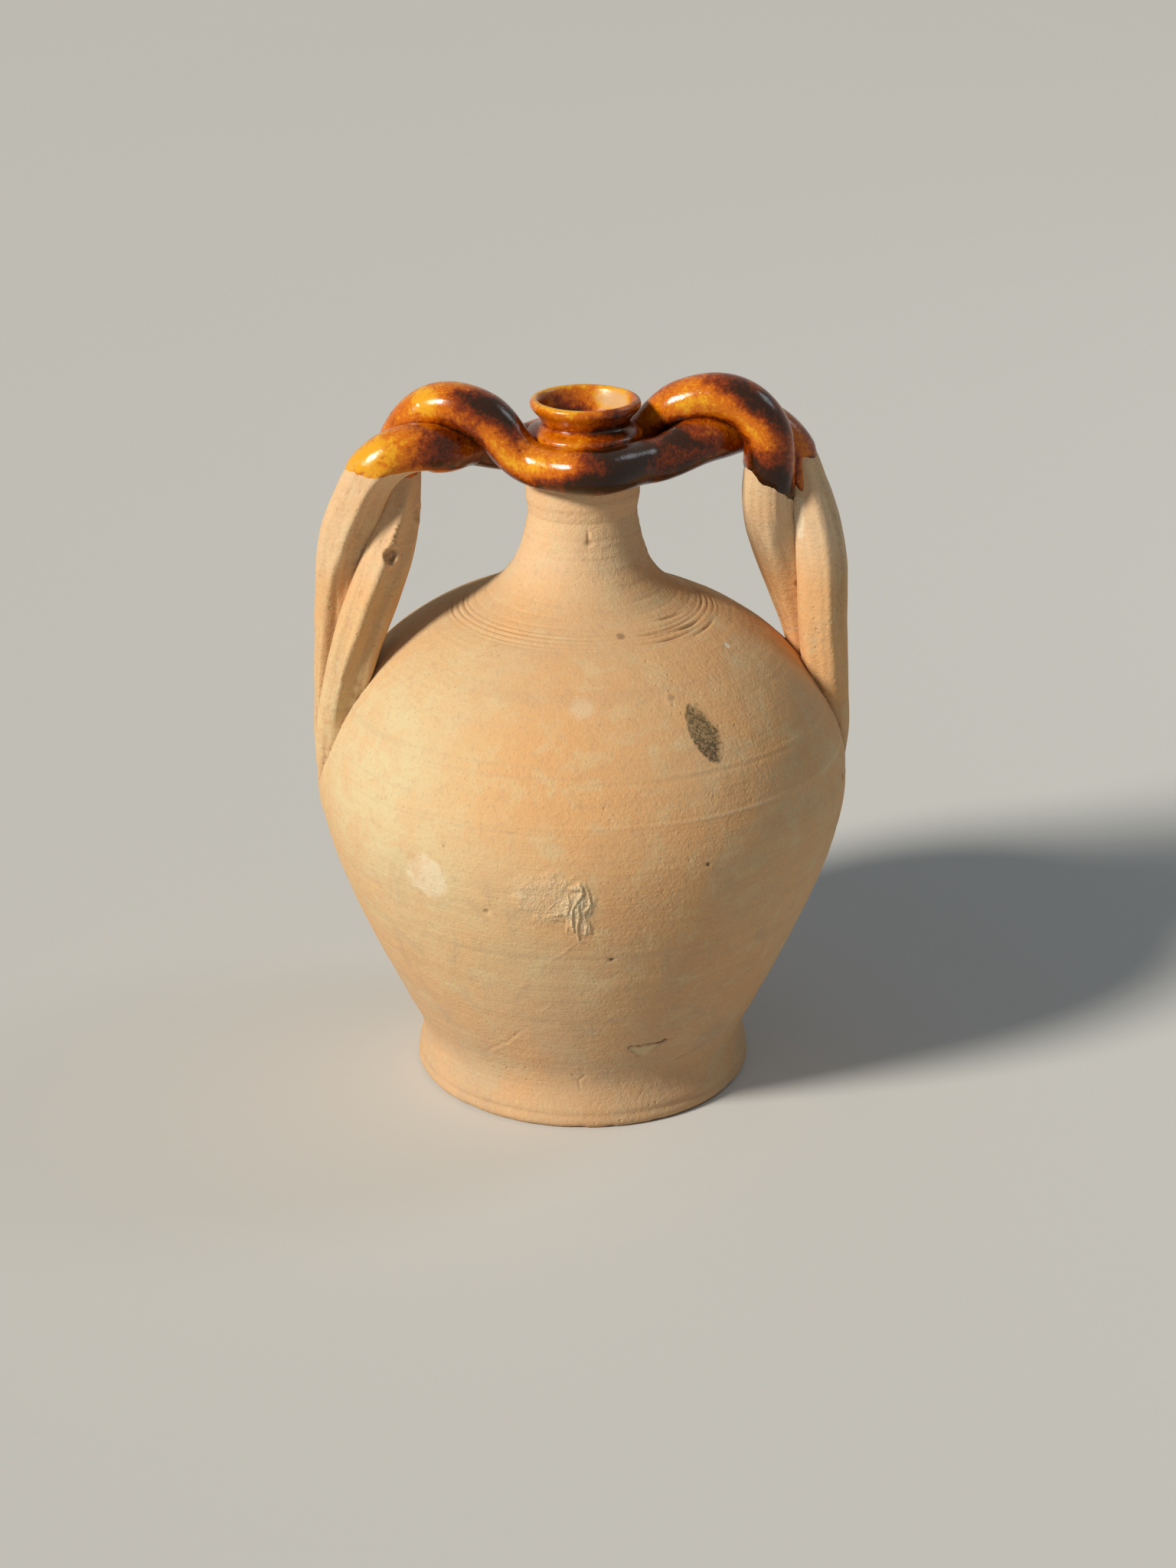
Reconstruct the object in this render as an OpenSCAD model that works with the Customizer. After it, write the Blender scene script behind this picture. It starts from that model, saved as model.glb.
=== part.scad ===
// Amphora vase with a pair of twisted coil handles.
// Four thrown sections meet at rebated seams, two long clay coils wrap the neck and twist down to
// the belly, two luting pads hold the coil ends, and a dipped glaze covers the mouth and the arches.
// Origin: centre of the underside on the resting plane. +Z is up, +X points to the right handle.

/* [Vessel] */
// Height of the mouth rim above the resting plane
vase_h = 270; // [262:1:282]
// Radius of the belly at its widest line
belly_r = 101.5; // [95:0.5:108]
// Height of the widest line, where the lower and upper sections meet
belly_z = 122; // [116:1:126]
// Rise of the shoulder's quarter ellipse above the widest line
shoulder_h = 78; // [72:1:81]
// Radius of the foot band
foot_r = 65.5; // [58:0.5:70]
// Depth of the hollow between the foot band and the belly
waist_depth = 1.8; // [1:0.2:3]
// Height of that hollow
waist_z = 16; // [14:0.5:20]
// Wall thickness of the thrown sections
wall = 6.5; // [5:0.5:8]
// Thickness of the floor
floor_t = 9; // [7:0.5:11]

/* [Neck and mouth] */
// Radius where the neck section is set on the shoulder
skirt_r = 48; // [43:1:54]
// Radius of the neck at its narrowest
neck_r = 20.5; // [18.5:0.5:23]
// Drop from the mouth rim to the seam under the mouth section
mouth_drop = 42; // [38:1:45]
// Outer radius of the lip
lip_r = 20.2; // [19:0.2:22]
// Radius of the straight bore down the neck
bore_r = 12; // [10:0.5:13]
// Depth of the grooves turned around the foot of the neck
groove_d = 0.7; // [0.3:0.1:1]

/* [Coil handles] */
// Thickness of one clay coil
coil_d = 17; // [15:0.5:18]
// Drop from the mouth rim to the middle of the arches
arch_drop = 8; // [6:0.5:11]
// Drop from the mouth rim to the coils where they wrap the neck
wrap_drop = 20.5; // [19:0.5:23]
// Turn of the pair from the neck to the coil ends, in degrees
coil_twist = 360; // [340:5:370]
// Thickness of a coil end where it is smeared out
feather = 0.9; // [0.6:0.1:1.5]

/* [Glaze and joints] */
// Thickness of the glaze coat
glaze_t = 0.5; // [0.4:0.1:0.8]
// Clearance under the glaze coat
glaze_bed = 0.2; // [0.15:0.05:0.3]
// Drop from the mouth rim to the level the vase was dipped to
dip_drop = 28; // [26:0.5:30]
// Clearance between pieces that are luted together
seam_gap = 0.2; // [0.15:0.05:0.3]
// Overlap of the rebated seams
lap = 4; // [3:0.5:5]
// Thickness of the luting pads in the middle
pad_t = 0.6; // [0.4:0.1:1.2]

/* [Hidden] */
$fn = 96;

clay = "#c9a57c";
clay_dark = "#bd9870";
glaze_colour = "#b0621f";

coil_r = coil_d / 2;
neck_z = vase_h - mouth_drop;
dip_z = vase_h - dip_drop;
wrap_z = vase_h - wrap_drop;
arch_z = vase_h - arch_drop;
waist_r = foot_r - waist_depth;

// Curves: a cubic from four control points, and a spline through a list of stations of any width.
function cubic(a, b, c, d, t) =
    a * pow(1 - t, 3) + b * 3 * t * pow(1 - t, 2) + c * 3 * t * t * (1 - t) + d * pow(t, 3);
function cubic_run(a, b, c, d, n) = [for (i = [1:n]) cubic(a, b, c, d, i / n)];
function through(a, b, c, d, t) =
    0.5 * (2 * b + (c - a) * t + (2 * a - 5 * b + 4 * c - d) * t * t + (3 * b - a - 3 * c + d) * t * t * t);
function pick(list, i) =
    i < 0 ? 2 * list[0] - list[1]
    : i >= len(list) ? 2 * list[len(list) - 1] - list[len(list) - 2]
    : list[i];
function spline(list, u) =
    let (i = min(floor(u), len(list) - 2))
    through(pick(list, i - 1), pick(list, i), pick(list, i + 1), pick(list, i + 2), u - i);
function spline_run(list, n) =
    [for (i = [0:n * (len(list) - 1)]) spline(list, i / n)];
function unit(v) = v / norm(v);
function reversed(list) = [for (i = [len(list) - 1:-1:0]) list[i]];
function last(list) = list[len(list) - 1];
function tail(list) = [for (i = [1:len(list) - 1]) list[i]];
function bell(x) = exp(-x * x);

// The point list moved sideways by d, to the right of its direction of travel.
function shifted(list, d) = [for (i = [0:len(list) - 1])
    let (v = unit(list[min(i + 1, len(list) - 1)] - list[max(i - 1, 0)]))
    list[i] + d * [v[1], -v[0]]];

// Outer outline of the vessel, upward from the foot, as [radius, height].
foot_curve = concat(
    [[foot_r - 1.8, 0], [foot_r - 0.9, 0.6], [foot_r - 0.3, 1.8]],
    cubic_run([foot_r - 0.3, 1.8], [foot_r + 1, 8], [waist_r, waist_z - 7], [waist_r, waist_z], 10));
rise_slope = 0.48;
fillet_top = [waist_r + 5.6, waist_z + 16];
fillet_curve = cubic_run([waist_r, waist_z], [waist_r, waist_z + 6],
    fillet_top - 5 * [rise_slope, 1], fillet_top, 8);
belly_rise = belly_z - fillet_top[1];
belly_curve = cubic_run(fillet_top, fillet_top + 0.33 * belly_rise * [rise_slope, 1],
    [belly_r, belly_z - 0.26 * belly_rise], [belly_r, belly_z], 24);
lower_curve = concat(foot_curve, fillet_curve, belly_curve);

skirt_turn = acos(skirt_r / belly_r);
shoulder_curve = [for (i = [0:30])
    [belly_r * cos(skirt_turn * i / 30), belly_z + shoulder_h * sin(skirt_turn * i / 30)]];
skirt = last(shoulder_curve);
skirt_along = unit([-belly_r * sin(skirt_turn), shoulder_h * cos(skirt_turn)]);
skirt_out = [skirt_along[1], -skirt_along[0]];

neck_rise = neck_z - skirt[1];
plain_neck = concat([skirt], cubic_run(skirt, skirt + 0.66 * (skirt_r - neck_r) * skirt_along,
    [neck_r + 2.6, neck_z - 0.62 * neck_rise], [neck_r, neck_z], 44));
groove_radii = skirt_r * [0.94, 0.87, 0.78];
function groove(r) = groove_d * (bell((r - groove_radii[0]) / 0.8)
    + bell((r - groove_radii[1]) / 0.8) + bell((r - groove_radii[2]) / 0.8));
neck_normals = shifted(plain_neck, 1) - plain_neck;
neck_curve = [for (i = [0:len(plain_neck) - 1])
    plain_neck[i] - groove(plain_neck[i][0]) * neck_normals[i]];

// The mouth section: a collar that widens to the coils, then a ledge, a hollow and the lip.
collar_curve = spline_run([[neck_r, neck_z], [neck_r + 0.9, dip_z - 7], [neck_r + 1, dip_z]], 5);
lip_out = spline_run([[neck_r + 1, dip_z], [neck_r - 1, wrap_z], [lip_r - 1.8, vase_h - 15],
    [lip_r - 2.4, vase_h - 12.8], [lip_r - 5, vase_h - 10.4], [lip_r - 4.3, vase_h - 7],
    [lip_r - 1, vase_h - 3.6], [lip_r, vase_h - 1.9], [lip_r - 0.6, vase_h - 0.5],
    [lip_r - 1.6, vase_h]], 4);
lip_in = spline_run([[lip_r - 1.6, vase_h], [lip_r - 2.8, vase_h - 0.7], [lip_r - 3.4, vase_h - 2.6],
    [lip_r - 4.6, vase_h - 7], [bore_r + 1.2, vase_h - 14]], 4);
bore_top = vase_h - 20;

outer_curve = concat(lower_curve, shoulder_curve, neck_curve, collar_curve, lip_out);
radius_table = [for (p = outer_curve) [p[1], p[0]]];
function outer_r(z) = lookup(z, radius_table);

// A seam across the wall at outer point p: the tongue is the inner half of the lower section.
// along points up the wall, out points away from it, thick is the wall there.
function tongue(p, along, out, thick) = [p,
    p - (thick / 2 + seam_gap) * out,
    p - (thick / 2 + seam_gap) * out + (lap - seam_gap) * along,
    p - thick * out + (lap - seam_gap) * along];
function socket(p, along, out, thick) = [
    p - thick * out + lap * along,
    p - thick / 2 * out + lap * along,
    p - thick / 2 * out,
    p];

belly_line = [belly_r, belly_z];
neck_wall = neck_r - bore_r;
up = [0, 1];
outward = [1, 0];

lower_inside = reversed([for (p = shifted(concat(fillet_curve, belly_curve), -wall))
    if (p[1] > floor_t + 9 && p[1] < belly_z - 1) p]);
floor_corner = cubic_run(last(lower_inside), last(lower_inside) - [1.5, 7],
    [foot_r - wall - 4, floor_t], [foot_r - wall - 14, floor_t], 8);
upper_inside = reversed([for (p = shifted(shoulder_curve, -wall))
    if (p[1] > belly_z + lap + 1.5 && p[0] > skirt_r + 2) p]);
neck_start = socket(skirt, skirt_along, skirt_out, wall)[0];
neck_inside = reversed(cubic_run(neck_start, neck_start + 0.5 * (skirt_r - bore_r) * skirt_along,
    [bore_r, skirt[1] + 0.21 * neck_rise], [bore_r, skirt[1] + 0.53 * neck_rise], 14));

module lower_body() {
    color(clay)
        rotate_extrude()
            polygon(concat([[0, 0]], lower_curve,
                [for (i = [1:3]) tongue(belly_line, up, outward, wall)[i]],
                lower_inside, floor_corner, [[0, floor_t]]));
}

module upper_body() {
    color(clay)
        rotate_extrude()
            polygon(concat(shoulder_curve,
                [for (i = [1:3]) tongue(skirt, skirt_along, skirt_out, wall)[i]],
                upper_inside,
                [for (i = [0:2]) socket(belly_line, up, outward, wall)[i]]));
}

module neck() {
    color(clay_dark)
        rotate_extrude()
            polygon(concat(neck_curve,
                [for (i = [1:3]) tongue([neck_r, neck_z], up, outward, neck_wall)[i]],
                neck_inside,
                [for (i = [0:2]) socket(skirt, skirt_along, skirt_out, wall)[i]]));
}

module mouth() {
    color(clay)
        rotate_extrude()
            polygon(concat(collar_curve, tail(lip_out), tail(lip_in), [[bore_r, bore_top]],
                [for (i = [0:2]) socket([neck_r, neck_z], up, outward, neck_wall)[i]]));
}

// The glaze on the mouth section: a shell over its outline from the dip level to inside the lip.
glazed_line = concat(lip_out, tail(lip_in));
module mouth_glaze() {
    color(glaze_colour)
        rotate_extrude()
            polygon(concat(shifted(glazed_line, glaze_t), reversed(glazed_line)));
}

// Half of the handle pair, from the front of the neck to the right root.
// Each station is [x, z, half spacing of the two coils, turn of the pair, coil radius].
root_z = belly_z - 3;
leg_h = arch_z - root_z;
seat_r = neck_r + coil_r - 2.5;
half_stations = [
    [0, wrap_z, seat_r, 0, coil_r - 1],
    [0.227 * belly_r, wrap_z + 0.5, 0.47 * seat_r, 0.015, coil_r - 0.9],
    [0.400 * belly_r, arch_z - 2.2, coil_r + 0.1, 0.155, coil_r - 0.6],
    [0.545 * belly_r, arch_z, coil_r - 0.1, 0.305, coil_r - 0.8],
    [0.663 * belly_r, root_z + 0.963 * leg_h, coil_r - 0.2, 0.455, coil_r - 0.7],
    [0.730 * belly_r, root_z + 0.880 * leg_h, coil_r + 0.6, 0.590, coil_r],
    [0.767 * belly_r, root_z + 0.765 * leg_h, coil_r + 0.9, 0.705, coil_r + 0.3],
    [0.822 * belly_r, root_z + 0.620 * leg_h, coil_r + 0.1, 0.825, coil_r + 0.2],
    [0.875 * belly_r, root_z + 0.440 * leg_h, coil_r - 0.8, 0.935, coil_r],
    [0.914 * belly_r, root_z + 0.270 * leg_h, coil_r - 0.5, 0.985, coil_r - 0.6],
    [0.948 * belly_r, root_z + 0.130 * leg_h, coil_r - 1.8, 1, coil_r - 2],
    [0.972 * belly_r, root_z, coil_r - 3.5, 1, coil_r - 4.5]];
halves = len(half_stations) - 1;
// The half is mirrored through the front of the neck, so the pair runs on smoothly to the left.
mirrored = [-half_stations[1][0], half_stations[1][1], half_stations[1][2],
    -half_stations[1][3], half_stations[1][4]];
function half_pick(i) = i < 0 ? mirrored : pick(half_stations, i);
function half_at(u) =
    let (i = min(floor(u), halves - 1))
    through(half_pick(i - 1), half_pick(i), half_pick(i + 1), half_pick(i + 2), u - i);

// The frame of the pair at u: middle, direction of travel, and the normal in the handles' plane.
function pair_middle(u) = let (s = half_at(u)) [s[0], 0, s[1]];
function pair_along(u) = unit(pair_middle(min(u + 0.05, halves)) - pair_middle(max(u - 0.05, 0)));
function pair_normal(u) = let (t = pair_along(u)) [-t[2], 0, t[0]];
// k is 0 for the coil that runs under the right arch and 1 for the coil that runs over it.
function coil_side(u, k) =
    let (turn = -90 - coil_twist * half_at(u)[3] + 180 * k)
    cos(turn) * pair_normal(u) + sin(turn) * [0, 1, 0];
function half_centre(u, k) = pair_middle(u) + half_at(u)[2] * coil_side(u, k);
function half_turned(p) = [-p[0], -p[1], p[2]];

// Along a whole coil, s runs from minus halves at the left root to halves at the right root.
function coil_centre(s) = s < 0 ? half_turned(half_centre(-s, 1)) : half_centre(s, 0);
function coil_along(s) =
    unit(coil_centre(min(s + 0.04, halves)) - coil_centre(max(s - 0.04, -halves)));
function coil_middle(s) = s < 0 ? half_turned(pair_middle(-s)) : pair_middle(s);
function coil_apart(s) = s < 0 ? half_turned(coil_side(-s, 1)) : coil_side(s, 0);
function coil_up(s) =
    let (n = s < 0 ? half_turned(pair_normal(-s)) : pair_normal(s), t = coil_along(s))
    unit(n - (n * t) * t);

// The luting pad's height over the vessel at point p, and zero away from the pads.
pad_half_h = 20;
pad_half_w = 14;
pad_z = belly_z + 6;
function pad_reach(p) = norm([p[1] / pad_half_w, (p[2] - pad_z) / pad_half_h]);
function pad_rise(q) = q > 1 ? 0 : 0.3 + pad_t * (1 - q * q);

// A coil's skin at s is a ring around its centre line, flattened where it would meet its twin or the
// vessel: twin is what it keeps free of the plane between the coils, clear what it keeps of the vessel.
// grow is added to the coil's radius. Below the glazed stretch the ends are smeared onto the belly.
sides = 14;
glazed_to = 7;
facet_gap = 0.15;
function off_twin(p, s, twin) =
    let (d = (p - coil_middle(s)) * coil_apart(s))
    d < twin ? p + (twin - d) * coil_apart(s) : p;
function off_vessel(p, clear) =
    let (r = norm([p[0], p[1]]), q = pad_reach(p),
        least = outer_r(p[2]) + clear + (q < 1 ? pad_rise(q) + 2 * seam_gap : 0))
    r < least ? [p[0] * least / r, p[1] * least / r, p[2]] : p;
function ring_point(s, a, grow, twin, clear) =
    let (t = coil_along(s), n = coil_up(s), b = cross(n, t),
        r = half_at(abs(s))[4] + grow,
        p = coil_centre(s) + r * (cos(a) * n + sin(a) * b))
    off_vessel(off_twin(p, s, twin),
        abs(s) > glazed_to ? seam_gap + feather * max(0, cos(a)) : clear);

// Layers outward from the coil's clay: the bed of its glaze, the skin of its glaze, and then the gap to
// the mouth's glaze or to the twin.
coat = glaze_t + glaze_bed;
skin_clear = glaze_t + seam_gap + facet_gap;
function clay_ring(s) = [for (i = [0:sides - 1])
    ring_point(s, 360 * i / sides, 0, seam_gap + coat, skin_clear + coat)];

function skin_faces(rings, n) = [for (j = [0:rings - 2], i = [0:n - 1])
    each [[j * n + i, j * n + (i + 1) % n, (j + 1) * n + i],
        [j * n + (i + 1) % n, (j + 1) * n + (i + 1) % n, (j + 1) * n + i]]];

// Rings are closer together around the neck than along the legs.
half_stops = concat([for (i = [1:20]) i / 10], [for (i = [13:6 * halves]) i / 6]);
coil_stops = concat(-reversed(half_stops), [0], half_stops);
module coil() {
    rings = [for (s = coil_stops) clay_ring(s)];
    polyhedron(
        points = [for (ring = rings) each ring],
        faces = concat(skin_faces(len(rings), sides),
            [reversed([for (i = [0:sides - 1]) i])],
            [[for (i = [0:sides - 1]) (len(rings) - 1) * sides + i]]));
}

module front_coil() {
    color(clay)
        coil();
}

module back_coil() {
    color(clay_dark)
        rotate([0, 0, 180])
            coil();
}

// The glaze sleeve on a coil shares the coil's stops over the arches, and then each of its lines runs on
// to where it meets the dip level on the leg.
arch_stops = [for (u = half_stops) if (u < 3.6) u];
leg_rings = 10;
half_rings = len(arch_stops) + leg_rings;
function dip_stop(a, side, lo, hi, n) =
    let (m = (lo + hi) / 2)
    n == 0 ? m
    : ring_point(side * m, a, coat, 0, 0)[2] > dip_z ? dip_stop(a, side, m, hi, n - 1)
    : dip_stop(a, side, lo, m, n - 1);
function line_stops(a, side) =
    let (start = last(arch_stops), end = dip_stop(a, side, start, 8, 12))
    concat([0], arch_stops, [for (k = [1:leg_rings]) start + (end - start) * k / leg_rings]);
left_stops = [for (i = [0:sides - 1]) line_stops(360 * i / sides, -1)];
right_stops = [for (i = [0:sides - 1]) line_stops(360 * i / sides, 1)];
function sleeve(grow, twin, clear) = [for (j = [-half_rings:half_rings], i = [0:sides - 1])
    ring_point(j < 0 ? -left_stops[i][-j] : right_stops[i][j], 360 * i / sides, grow, twin, clear)];

module coil_glaze() {
    rings = 2 * half_rings + 1;
    n = sides * rings;
    polyhedron(
        points = concat(
            sleeve(coat, seam_gap, skin_clear),
            sleeve(glaze_bed, seam_gap + glaze_t, skin_clear + glaze_t)),
        faces = concat(skin_faces(rings, sides),
            [for (f = skin_faces(rings, sides)) reversed(f) + [n, n, n]],
            [for (i = [0:sides - 1]) each end_faces(i, (i + 1) % sides, n)],
            [for (i = [0:sides - 1]) each end_faces(n - sides + (i + 1) % sides, n - sides + i, n)]));
}

// The two triangles that join the skin to the bed at a sleeve's end.
function end_faces(a, b, n) = [[a, a + n, b], [b, a + n, b + n]];

module front_coil_glaze() {
    color(glaze_colour)
        coil_glaze();
}

module back_coil_glaze() {
    color(glaze_colour)
        rotate([0, 0, 180])
            coil_glaze();
}

// A luting pad: an oval lens of clay on the belly under the coil ends of one handle.
pad_rings = 8;
pad_sides = 28;
function pad_point(q, a, over) =
    let (y = pad_half_w * q * cos(a), z = pad_z + pad_half_h * q * sin(a),
        r = outer_r(z) + seam_gap + (over ? pad_rise(min(q, 1)) : 0))
    [sqrt(r * r - y * y), y, z];
module pad() {
    over = concat([pad_point(0, 0, true)],
        [for (j = [1:pad_rings], i = [0:pad_sides - 1]) pad_point(j / pad_rings, 360 * i / pad_sides, true)]);
    under = concat([pad_point(0, 0, false)],
        [for (j = [1:pad_rings], i = [0:pad_sides - 1]) pad_point(j / pad_rings, 360 * i / pad_sides, false)]);
    n = len(over);
    disc = concat(
        [for (i = [0:pad_sides - 1]) [0, 1 + (i + 1) % pad_sides, 1 + i]],
        [for (f = skin_faces(pad_rings, pad_sides)) f + [1, 1, 1]]);
    rim = n - pad_sides;
    polyhedron(
        points = concat(over, under),
        faces = concat(disc,
            [for (f = disc) reversed(f) + [n, n, n]],
            [for (i = [0:pad_sides - 1]) each
                end_faces(rim + (i + 1) % pad_sides, rim + i, n)]));
}

module right_root() {
    color(clay_dark)
        pad();
}

module left_root() {
    color(clay_dark)
        rotate([0, 0, 180])
            pad();
}

lower_body();
upper_body();
neck();
mouth();
front_coil();
back_coil();
left_root();
right_root();
mouth_glaze();
front_coil_glaze();
back_coil_glaze();
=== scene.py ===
"""Amphora vase with twisted coil handles: the finish of its pieces.

Every piece is a surface of two parameters, worked out with numpy in millimetres and put into its mesh
in metres. The thrown sections are outlines turned about Z, the coils are rings carried along two
twisted paths, the glaze is a thin shell over both, and the luting pads are lenses on the belly.
"""

import math
from types import SimpleNamespace

import bpy
import numpy as np
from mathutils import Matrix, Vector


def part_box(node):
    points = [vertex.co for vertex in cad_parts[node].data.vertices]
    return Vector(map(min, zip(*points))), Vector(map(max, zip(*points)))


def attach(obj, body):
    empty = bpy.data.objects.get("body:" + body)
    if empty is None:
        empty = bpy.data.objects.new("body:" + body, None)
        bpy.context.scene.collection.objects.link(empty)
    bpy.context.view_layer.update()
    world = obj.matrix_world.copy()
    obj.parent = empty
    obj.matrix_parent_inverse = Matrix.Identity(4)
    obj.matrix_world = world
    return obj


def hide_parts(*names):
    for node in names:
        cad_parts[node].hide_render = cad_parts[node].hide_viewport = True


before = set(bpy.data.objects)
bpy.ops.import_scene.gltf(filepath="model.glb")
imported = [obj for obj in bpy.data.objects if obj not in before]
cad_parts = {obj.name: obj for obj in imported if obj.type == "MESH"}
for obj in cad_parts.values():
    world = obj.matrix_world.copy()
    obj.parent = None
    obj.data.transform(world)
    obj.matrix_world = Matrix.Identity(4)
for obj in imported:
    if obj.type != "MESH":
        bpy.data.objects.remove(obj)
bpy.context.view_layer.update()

bl_info = {
    "name": "Amphora vase",
    "version": (1, 0, 0),
    "blender": (4, 5, 0),
    "location": "3D View > Sidebar > Vase",
    "description": "Thrown terracotta vase with twisted coil handles and a dipped amber glaze",
    "category": "Add Mesh",
}

MM = 0.001
TURN = 2 * math.pi
BODY = "root"


def length(name, description, default):
    """A size in metres for a property group."""
    return bpy.props.FloatProperty(name=name, description=description, default=default,
                                   unit="LENGTH", precision=4)


def colour(name, description, red, green, blue):
    """A linear colour for a property group."""
    return bpy.props.FloatVectorProperty(name=name, description=description, size=4, min=0, max=1,
                                         default=(red, green, blue, 1), subtype="COLOR")


class VesselSizes(bpy.types.PropertyGroup):
    """Sizes of the thrown sections."""

    rim_height: length("Rim height", "Height of the mouth rim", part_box("mouth")[1].z)
    belly_radius: length("Belly radius", "Radius at the widest line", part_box("upper_body")[1].x)
    belly_height: length("Belly height", "Height of the widest line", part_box("upper_body")[0].z)
    shoulder_rise: length("Shoulder rise", "Rise of the shoulder's quarter ellipse", 0.078)
    foot_radius: length("Foot radius", "Radius of the foot band", 0.0655)
    waist_depth: length("Waist depth", "Depth of the hollow over the foot band", 0.0018)
    waist_height: length("Waist height", "Height of that hollow", 0.016)
    wall: length("Wall", "Thickness of the thrown wall", 0.0065)
    base: length("Base", "Thickness of the floor of the vessel", 0.009)
    skirt_radius: length("Skirt radius", "Radius where the neck is set on the shoulder", 0.048)
    neck_radius: length("Neck radius", "Radius of the neck at its narrowest", 0.0205)
    seam_height: length("Seam height", "Height of the seam under the mouth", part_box("mouth")[0].z)
    lip_radius: length("Lip radius", "Outer radius of the lip", 0.0202)
    bore_radius: length("Bore radius", "Radius of the bore of the neck", 0.012)
    lap: length("Lap", "Overlap of the rebated seams", 0.004)
    seam_gap: length("Seam gap", "Clearance of the seams", 0.0002)


class CoilSizes(bpy.types.PropertyGroup):
    """Sizes of the handle coils and their luting pads."""

    thickness: length("Coil thickness", "Thickness of one clay coil", 0.017)
    arch_height: length("Arch height", "Height of the middle of the arches", 0.262)
    wrap_height: length("Wrap height", "Height of the coils where they wrap the neck", 0.2495)
    pad_thickness: length("Pad thickness", "Thickness of a luting pad in the middle", 0.0006)
    twist: bpy.props.FloatProperty(name="Twist", description="Turn of the pair from neck to root",
                                   default=TURN, subtype="ANGLE")


class GlazeSizes(bpy.types.PropertyGroup):
    """Sizes of the glaze coat."""

    coat: length("Coat", "Thickness of the glaze", 0.0005)
    bed: length("Bed", "Clearance under the glaze", 0.0002)


class Finishes(bpy.types.PropertyGroup):
    """Colours of the clay, the glaze and the floor."""

    buff: colour("Buff", "Main colour of the clay", 0.64, 0.400, 0.205)
    peach: colour("Peach", "Warmer clay", 0.69, 0.378, 0.160)
    # Cream also paints the highlight on the upper line's crest.
    cream_and_highlight: colour("Cream", "Paler clay", 0.645, 0.530, 0.300)
    slip: colour("Slip", "Pale slip on the clay", 0.78, 0.68, 0.50)
    ash: colour("Ash", "Greyer clay", 0.40, 0.290, 0.195)
    # Soil also paints shade in the cuts, in the dents, under the upper line, under the flake's edge and
    # where the coils meet the wall.
    soil_and_shade: colour("Soil", "Brown in drag marks and specks", 0.25, 0.135, 0.065)
    stain: colour("Stain", "Smoke stain on the shoulder", 0.120, 0.088, 0.040)
    # Soot also paints the darkest part of the shadow under the flake's edge.
    soot_and_shadow: colour("Soot", "Darkest smoke and pits", 0.040, 0.029, 0.020)
    # The glaze colours follow its depth, which also carries painted shade and painted light, so rust and
    # umber paint shade as well and honey paints light as well.
    honey: colour("Honey", "Thin glaze", 0.74, 0.34, 0.012)
    amber: colour("Amber", "Glaze of middling thickness", 0.57, 0.135, 0.002)
    rust: colour("Rust", "Thick glaze", 0.24, 0.032, 0.001)
    umber: colour("Umber", "Pooled glaze", 0.026, 0.007, 0.001)
    floor: colour("Floor", "Floor that the vase stands on", 0.62, 0.61, 0.58)


def in_mm(group):
    """The sizes of a property group as plain numbers in millimetres, with angles as they are."""
    sizes = {name: getattr(group, name) for name in group.__annotations__}
    return SimpleNamespace(**{n: x if n == "twist" else x / MM for n, x in sizes.items()})


# Curves and noise

def cubic(start, first, second, end, count=60):
    """The cubic with those two ends and two handles: each point is their mean, weighted by t."""
    t = np.linspace(0, 1, count)[:, None]
    a, b, c, d = (np.asarray(p, float) for p in (start, first, second, end))
    return a * (1 - t) ** 3 + 3 * b * t * (1 - t) ** 2 + 3 * c * t * t * (1 - t) + d * t ** 3


def through(stations, u):
    """The smooth cubic through stations that lie one unit of u apart, as far as their ends."""
    s = np.asarray(stations, float)
    s = np.vstack([2 * s[0] - s[1], s, 2 * s[-1] - s[-2]])
    i = np.clip(np.floor(u).astype(int), 0, len(s) - 4)
    t = (u - i)[:, None]
    a, b, c, d = s[i], s[i + 1], s[i + 2], s[i + 3]
    return 0.5 * (2 * b + (c - a) * t + (2 * a - 5 * b + 4 * c - d) * t ** 2
                  + (3 * b - a - 3 * c + d) * t ** 3)


def run_through(stations, count=12):
    """The same curve as a list of points, with count of them from station to station."""
    return through(stations, np.linspace(0, len(stations) - 1, count * (len(stations) - 1) + 1))


def travel(points):
    """Distance along a list of points, from its first."""
    return np.r_[0, np.cumsum(np.linalg.norm(np.diff(points, axis=0), axis=1))]


def evenly(points, step):
    """The list of points laid out again at even distances of about one step."""
    way = travel(points)
    stops = np.linspace(0, way[-1], max(2, round(way[-1] / step) + 1))
    return np.stack([np.interp(stops, way, column) for column in points.T], axis=1)


def unit(vectors):
    """The vectors at length one."""
    return vectors / np.linalg.norm(vectors, axis=-1, keepdims=True)


def sideways(line):
    """Unit normals of a [radius, height] line, to the right of its direction of travel."""
    along = unit(np.gradient(line, axis=0))
    return np.stack([along[:, 1], -along[:, 0]], axis=1)


def bell(x):
    """One at zero, falling off smoothly to both sides."""
    return np.exp(-x * x)


def ramp(x, low, high):
    """Zero below low and one above high, with a smooth step between; low may be the larger."""
    t = np.clip((x - low) / (high - low), 0, 1)
    return t * t * (3 - 2 * t)


def at_least(x, least, soft):
    """x where it is well over least, and a soft bend to least where it isn't."""
    return least + soft * np.logaddexp(0, (x - least) / soft)


# Rows of random heights, after which the noise repeats along v.
WAVE_ROWS = 512


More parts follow.
